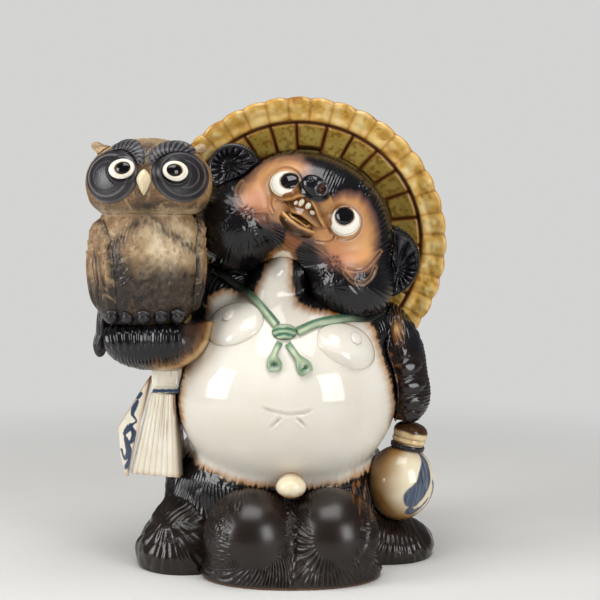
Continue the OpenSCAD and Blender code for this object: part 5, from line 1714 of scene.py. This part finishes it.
rise = [(s, 0) for s in np.linspace(0, 1, 60)] + [(1, e) for e in rowsOver(0, 90, 1.6)[1:-1]]
owlBody = pot(owlShape, (-130, -73, 229.4), (-130, -74, 292), rise, frontAngles(300, 100),
              owlParts["wall"], 5, owlHeight, owlPaint, upright=0)
addParts("owlBody", [owlBody], owlClay, "owl_body")


def owlHeadPaint(p):
    x, y, z = np.moveaxis(p, -1, 0)
    low = smoothStep(346, 332, z + 4 * noise(p, 12)) * smoothStep(326, 334, z) * (y < -60)
    brow = hill(x + 124, 9) * hill(z - 380, 14) * (y < -90)
    beakShade = hill(x + 126, 13) * hill(z - 342, 12) * (y < -100) * (0.35 + 0.25 * noise(p, 3))
    pale = clamp(smoothStep(384, 396, z) * 0.5 + hill(z - 331, 3.5) * 0.8)
    return dict(pale=pale * (0.8 + 0.4 * noise(p, 8)), dark=clamp(low * 0.65 + brow * 0.9 + beakShade),
                scratch=scratched(p) * 0.5, pit=smoothStep(0.45, 0.8, noise(p, 2.6)) * 0.5)


def owlHeadHeight(p):
    z = p[..., 2]
    return (-0.5 * scratched(p) + 0.3 * noise(p, 5)) * smoothStep(328.2, 331, z) - 2.6 * hill(z - 327, 7)


around = [(0, e) for e in rowsOver(-46, 0, 1.5)] + [(s, 0) for s in (0.33, 0.66, 1)]
around += [(1, e) for e in rowsOver(0, 88, 1.5)[1:]]
owlHead = pot(owlHeadShape, (-127, -75, 349), (-127, -75, 363), around, frontAngles(260, 90),
              owlParts["wall"], 5, owlHeadHeight, owlHeadPaint, upright=0)
addParts("owlHead", [owlHead], owlClay, "owl_head")
charcoal = firedFinish("charcoal", ("#1B191C", "#252225"), 14, 0.3, [
    coat("edge", "#7C787C", "#5C585C", 0.4),
    coat("deep", "#131113", "#1A181A", 0.5)], [("#4A464C", 1.6, 0.35, 0.35)], peel=(1.8, 0.3))
discs = dict(frames=[facing((-156, -107, 362), (-0.45, -1, 0.05)),
                     facing((-93, -110, 363), (0.42, -1, 0.05))],
             r=28.5, thick=4, eyes=[(16, 5), (-9, 2.5)], pupils=[(2.2, 0.8), (-1.6, 0.6)],
             eyeR=11.6, pupilR=6.9, squash=0.78)


# One disc round an eye: two steps at set distances from its edge, and a lid that stands up
def disc(k):
    ex, ey = discs["eyes"][k]
    rx, ry = discs["r"], discs["r"] - 4

    def measures(x, y):
        return np.hypot(x - ex, y - ey), rx - np.hypot(x, y * rx / ry)

    def discAt(t, a):
        radius = (1 - t) * oval(rx, ry, a)
        x, y = radius * np.cos(a), radius * np.sin(a)
        away, outer = measures(x, y)
        step = 0.7 * smoothStep(13, 14.2, outer) * (away > 15) - 0.9 * smoothStep(6.5, 8.2, outer)
        step = np.where(away < discs["eyeR"] + 2.2, np.minimum(step, 0), step)
        lid = hill(np.hypot(x - ex, (y - ey) / 0.86) - discs["eyeR"] - 2.2, 1.5) * smoothStep(0.05, 0.2, t)
        return radius, slab(t, discs["thick"]) + step + 1.4 * lid

    def discPaint(x, y, t):
        away, outer = measures(x, y)
        edge = hill(outer - 1.0, 1.0) + 0.8 * hill(outer - 6.6, 0.8)
        edge = edge + 0.6 * hill(outer - 14.2, 0.8) * (away > 15)
        deep = hill(outer - 8.4, 1.0) + 0.6 * hill(outer - 12.8, 0.8) + hill(away - discs["eyeR"] - 2, 1.6)
        return dict(edge=clamp(edge) * 0.7, deep=clamp(deep) * 0.8)

    return sprig(owlHeadShape, discs["frames"][k], discAt, 60, 150, paint=discPaint)


addParts("owlDiscLeft", [disc(0)], charcoal, "owl_disc_left")
addParts("owlDiscRight", [disc(1)], charcoal, "owl_disc_right")


def owlEyePaint(x, y, t):
    s = t / 0.84
    amber = 0.9 * hill(s - 1.0, 0.05) + smoothStep(0.06, 0.0, t) * 0.8 + 0.4 * hill(s - 0.6, 0.05)
    return dict(cream=clamp(smoothStep(0.55, 0.95, s) * 0.8), amber=clamp(amber))


eyeSeat, pupilSeat = discs["thick"] + seam, discs["thick"] + eyes["ledge"] + 2 * seam
owlEyeParts, owlPupilParts = [], []
for k, off in enumerate(discs["pupils"]):
    f = shifted(discs["frames"][k], vec(*discs["eyes"][k]) + vec(*off))
    rows = squashed(eyeRows(off, discs["eyeR"], discs["pupilR"], 3.5), discs["squash"])
    pupil = squashed(button(discs["pupilR"], 2.0, 0.2), discs["squash"])
    owlEyeParts.append(sprig(owlHeadShape, f, rows, 36, 80, lambda x, y: eyeSeat, owlEyePaint))
    owlPupilParts.append(sprig(owlHeadShape, f, pupil, 10, 56, lambda x, y: pupilSeat))
addParts("owlEyes", owlEyeParts, eyeGlaze, "owl_eyes")
addParts("owlPupils", owlPupilParts, pupilGlaze, "owl_pupils")
boneGlaze = firedFinish("boneGlaze", ("#DCCDAC", "#CDBB95"), 10, 0.22, [
    coat("dark", "#2A2422", "#3A302A", 0.4)], [("#7A5A38", 1.2, 0.35, 0.6)], peel=(3, 0.1))
# beak: a spade with its point down, as (degrees, mm) round its middle
beakRadii = [(0, 6.4), (35, 7.4), (60, 8.6), (90, 11.5), (120, 8.6), (145, 7.4), (180, 6.4), (215, 6.2),
             (245, 8.0), (262, 11), (270, 13), (278, 11), (295, 8.0), (325, 6.2), (360, 6.4)]


def beakAt(t, a):
    return (1 - t) * np.interp(np.degrees(a) % 360, *zip(*beakRadii)), dome(t, 8) + 0.3 + 0 * a


def beakPaint(x, y, t):
    return dict(dark=clamp(smoothStep(0.1, 0.0, t) + 0 * x))


beak = sprig(owlHeadShape, facing((-126, -118, 356), (0, -1, 0.1)), beakAt, 24, 96, paint=beakPaint)
addParts("owlBeak", [beak], boneGlaze, "owl_beak")

brows = dict(lines=[[(-157, 386), (-148, 390), (-138, 388.5), (-131, 381), (-129, 371)],
                    [(-120, 371), (-116, 381), (-107, 387.5), (-95, 388.5), (-84, 384)]],
             thin=3, thick=9, high=3.4)


# Brows: thick at the middle, notched like feathers by a wave along them
def notches(t, e):
    return np.abs(np.sin(t * 34 + e * 1.2))


def browWidth(t):
    return brows["thin"] + brows["thick"] * np.sin(np.pi * clamp(t)) ** 0.8


def browHeight(t):
    return brows["high"] * np.clip(9 * t * (1 - t), 0.25, 1) ** 0.5


def browPaint(t, e):
    edge = clamp((notches(t, e) > 0.8) * 0.7 + hill(e + 0.8, 0.3) * 0.4)
    return dict(edge=edge, deep=0.3 + 0 * edge)


def browRelief(t, e):
    return notches(t, e) ** 0.7 * np.sin(np.pi * t) ** 0.3 - 0.5


browParts = [strip(owlHeadShape, line, -80, browWidth, browHeight, 110, 3.4, browPaint, browRelief)
             for line in brows["lines"]]
addParts("owlBrows", browParts, charcoal, "owl_brows")


# A tuft: a horn from root to tip that leans outwards
def tuft(root, side):
    root = vec(*root)
    tip = root + vec(side * 10, 0, 7)

    def shape(p):
        return less(p, fromBulges(p, [(root, (8, 8, 7)), (tip, (4, 4, 3.5))], 3), owlHeadShape)

    def paint(p):
        return dict(pale=hill(length(p - tip), 6) * 0.6, dark=0 * p[..., 0], scratch=scratched(p),
                    pit=smoothStep(0.45, 0.8, noise(p, 2.6)) * 0.5)

    return lump(shape, root + (tip - root) * 0.55, tip, 5, 60, lambda p: 0.35 * noise(p, 4), paint)


tufts = [tuft((-165, -75, 383), -1), tuft((-89, -75, 381), 1)]
addParts("owlTufts", tufts, owlClay, "owl_tufts")


# Wings: a flat sprig with scale-like feathers at the shoulder and long ones below
def wing(at, n, slope, mirror):
    f = facing(at, n)

    def feathers(x, y):
        x = x * mirror
        rows = (y + 44) / 9.5
        scales = np.abs(np.sin((x / 9.0 + 0.5 * np.floor(rows)) * np.pi)) ** 0.6
        shoulder = smoothStep(6, 14, y)
        step = (rows - np.floor(rows)) * 1.2
        long = np.abs(np.sin((x + 0.22 * y) / 11.5 * np.pi)) ** 0.5
        fold = hill(fromLine(x, y, [(-4, 22), (6, 6), (8, -14), (2, -34)])[0], 1.3)
        upper, lower = scales * 1.6 + 1.5 * step - 1.6, 2.4 * long - 1.8
        return shoulder * upper + (1 - shoulder) * lower - 1.6 * fold, fold, long, shoulder, scales

    def wingAt(t, a):
        radius = (1 - t) * oval(22, 42, a - math.radians(slope))
        x, y = radius * np.cos(a), radius * np.sin(a)
        radius = radius * (1 + 0.10 * clamp(-np.sin(a)) ** 4 * smoothStep(0.5, 0, t))
        return radius, 4.4 * smoothStep(-0.03, 0.11, t) + feathers(x, y)[0] * smoothStep(0, 0.16, t)

    def paint(x, y, t):
        height, fold, long, shoulder, scales = feathers(x, y)
        dark = smoothStep(-2, -26, y) * 0.9 + fold * 0.8 + (1 - long) * (1 - shoulder) * 0.8
        dark = dark + smoothStep(0.5, 0.1, scales) * shoulder * 0.7 + hill(t - 0.02, 0.05) * 0.8
        scratch = hill(long - 0.15, 0.1) * (1 - shoulder) * 0.3 + 0.4 * scratched(np.stack([x, 0 * x, y], -1))
        return dict(pale=0.25 * smoothStep(0.2, 0.8, brushed(x / 7, y / 7)) + hill(t, 0.04) * 0.3,
                    dark=clamp(dark) * 0.95, scratch=scratch, pit=0 * x)

    return sprig(owlShape, f, wingAt, 50, 150, paint=paint)


leftWing, rightWing = wing((-163, -94, 282), (-1, -0.8, 0), 6, 1), wing((-86, -70, 284), (1, -0.1, 0), -4, -1)
addParts("owlWingLeft", [leftWing], owlClay, "owl_wing_left")
addParts("owlWingRight", [rightWing], owlClay, "owl_wing_right")


# A toe: a lump on the perch, with a groove and a pale line as arcs round its foot
def toe(x):
    middle = vec(x, -107 + abs(x + 129) * 0.26, armParts["perchZ"] + 8.5)

    def shape(p):
        above = armParts["perchZ"] + seam - p[..., 2]
        return np.maximum(less(p, fromBulge(p, (middle, (7, 9, 8))), owlShape), above)

    def arc(p):
        return np.hypot(p[..., 0] - x, p[..., 2] - middle[2] + 6)

    def relief(p):
        return -0.9 * hill(arc(p) - 8.5, 0.8) + 0.3 * hill(arc(p) - 10.6, 1.0)

    def paint(p):
        return dict(pale=0.5 * hill(arc(p) - 10.4, 0.8))

    return lump(shape, middle + vec(0, -2, 0), middle + vec(0, -3, 0.5), 4, 80, relief, paint)


toeGlaze = firedFinish("toeGlaze", ("#1A181B", "#242124"), 10, 0.25, [
    coat("pale", "#5A565A", "#4A464A", 0.3)], peel=(3, 0.1))
toes = [toe(x) for x in (-158, -143.5, -129, -114.5, -100)]
addParts("owlFeet", toes, toeGlaze, "owl_feet")

# The owl's tail hangs behind the perch, ribbed along its length
tailRoot, tailTip = vec(-170, -50, 243), vec(-177, -52, 205.2)
tailMiddle = (tailRoot + tailTip) / 2
tailBulges = [(tailRoot, (6, 8, 12)), (tailMiddle, (6, 8, 16)), (tailTip, (5.5, 7, 10.2))]


def owlTailShape(p):
    return less(p, fromBulges(p, tailBulges, 3), owlShape, owlArmShape)


def tailRibs(p):
    return np.sin(p[..., 1] * 2.2)


def owlTailPaint(p):
    return dict(pale=0.3 * hill(tailRibs(p) - 1, 0.4))


def owlTailHeight(p):
    return 0.5 * tailRibs(p) + 0.2 * noise(p, 5)


low, high = (tailRoot + (tailTip - tailRoot) * share for share in (0.75, 0.3))
owlTail = lump(owlTailShape, low, high, 4, 80, owlTailHeight, owlTailPaint, 10)
addParts("owlTail", [owlTail], toeGlaze, "owl_tail")
print("owl ready")


# Studio

studio = dict(floor=("#D9D8D5", "#CFCECB"), background="#D4D4D2", worldLight=0.13, floorHalf=8,
              fade=(0.35, 1.1),
              camera=(25.37, -1223.47, 330), pitch=3.94, lens=76.62, aim=(0, 0, 0.2),
              boxes=[((-1.35, -0.62, 0.62), (0.7, 0.9), 17), ((1.05, -1.15, 0.6), (0.6, 0.9), 14),
                     ((0.0, -0.35, 1.9), (1.4, 1.2), 29)])


def makeStudio():
    s = studio
    data = bpy.data.cameras.new("camera")
    data.lens, data.sensor_width = s["lens"], 36
    data.clip_start, data.clip_end = 0.05, 50
    camera = bpy.data.objects.new("camera", data)
    camera.location = vec(*s["camera"]) * 0.001
    camera.rotation_euler = (math.radians(90 - s["pitch"]), 0, 0)
    bpy.context.collection.objects.link(camera)
    bpy.context.scene.camera = camera

    # floor: a plain sheet of matt board that turns into the backdrop's grey far from the figure
    mesh = bpy.data.meshes.new("floor")
    half = s["floorHalf"]
    corners = [(-half, -half, 0), (half, -half, 0), (half, half, 0), (-half, half, 0)]
    mesh.from_pydata(corners, [], [(0, 1, 2, 3)])
    floor = bpy.data.objects.new("floor", mesh)
    bpy.context.collection.objects.link(floor)
    material = bpy.data.materials.new("studioFloor")
    material.use_nodes = True
    tree = material.node_tree
    tree.nodes.clear()
    where = addNode(tree, "TexCoord").outputs["Object"]
    grain = addNode(tree, "TexNoise", {"Vector": where, "Scale": 3.0, "Detail": 2.0}).outputs["Fac"]
    mixed = {0: grain, 6: colour(s["floor"][0]), 7: colour(s["floor"][1])}
    shade = addNode(tree, "Mix", mixed, data_type="RGBA").outputs[2]
    surface = addNode(tree, "BsdfPrincipled", {"Base Color": shade, "Roughness": 0.7}).outputs[0]
    away = addNode(tree, "VectorMath", {0: where}, operation="LENGTH").outputs["Value"]
    fade = addNode(tree, "MapRange", {"Value": away, "From Min": s["fade"][0], "From Max": s["fade"][1]},
                   interpolation_type="SMOOTHSTEP").outputs[0]
    seen = addNode(tree, "LightPath").outputs["Is Camera Ray"]
    fade = addNode(tree, "Math", {0: fade, 1: seen}, operation="MULTIPLY").outputs[0]
    glow = addNode(tree, "Emission", {"Color": colour(s["background"]), "Strength": 1.0}).outputs[0]
    surface = addNode(tree, "MixShader", {0: fade, 1: surface, 2: glow}).outputs[0]
    addNode(tree, "OutputMaterial", {"Surface": surface})
    mesh.materials.append(material)

    # world: plain grey light, shown to the camera as the pale background
    sky = bpy.data.worlds.new("studio")
    sky.use_nodes = True
    tree = sky.node_tree
    tree.nodes.clear()
    rays = addNode(tree, "LightPath")
    light = addNode(tree, "Background", {"Color": (1, 1, 1, 1), "Strength": s["worldLight"]}).outputs[0]
    shown = addNode(tree, "Background", {"Color": colour(s["background"]), "Strength": 1.0}).outputs[0]
    both = addNode(tree, "MixShader", {0: rays.outputs["Is Camera Ray"], 1: light, 2: shown}).outputs[0]
    addNode(tree, "OutputWorld", {"Surface": both})
    bpy.context.scene.world = sky

    # soft boxes: place, size and power; each looks at the figure's middle
    for k, (at, sides, power) in enumerate(s["boxes"]):
        lamp = bpy.data.lights.new("softBox%d" % k, "AREA")
        lamp.shape, lamp.size, lamp.size_y, lamp.energy = "RECTANGLE", sides[0], sides[1], power
        holder = bpy.data.objects.new("softBox%d" % k, lamp)
        aim = vec(*s["aim"]) - vec(*at)
        holder.location = at
        yaw, drop = math.atan2(-aim[0], aim[1]), math.acos(-unit(aim)[2])
        holder.rotation_euler = (drop, 0, yaw)
        bpy.context.collection.objects.link(holder)


makeStudio()
bpy.context.scene.view_settings.view_transform = "Standard"
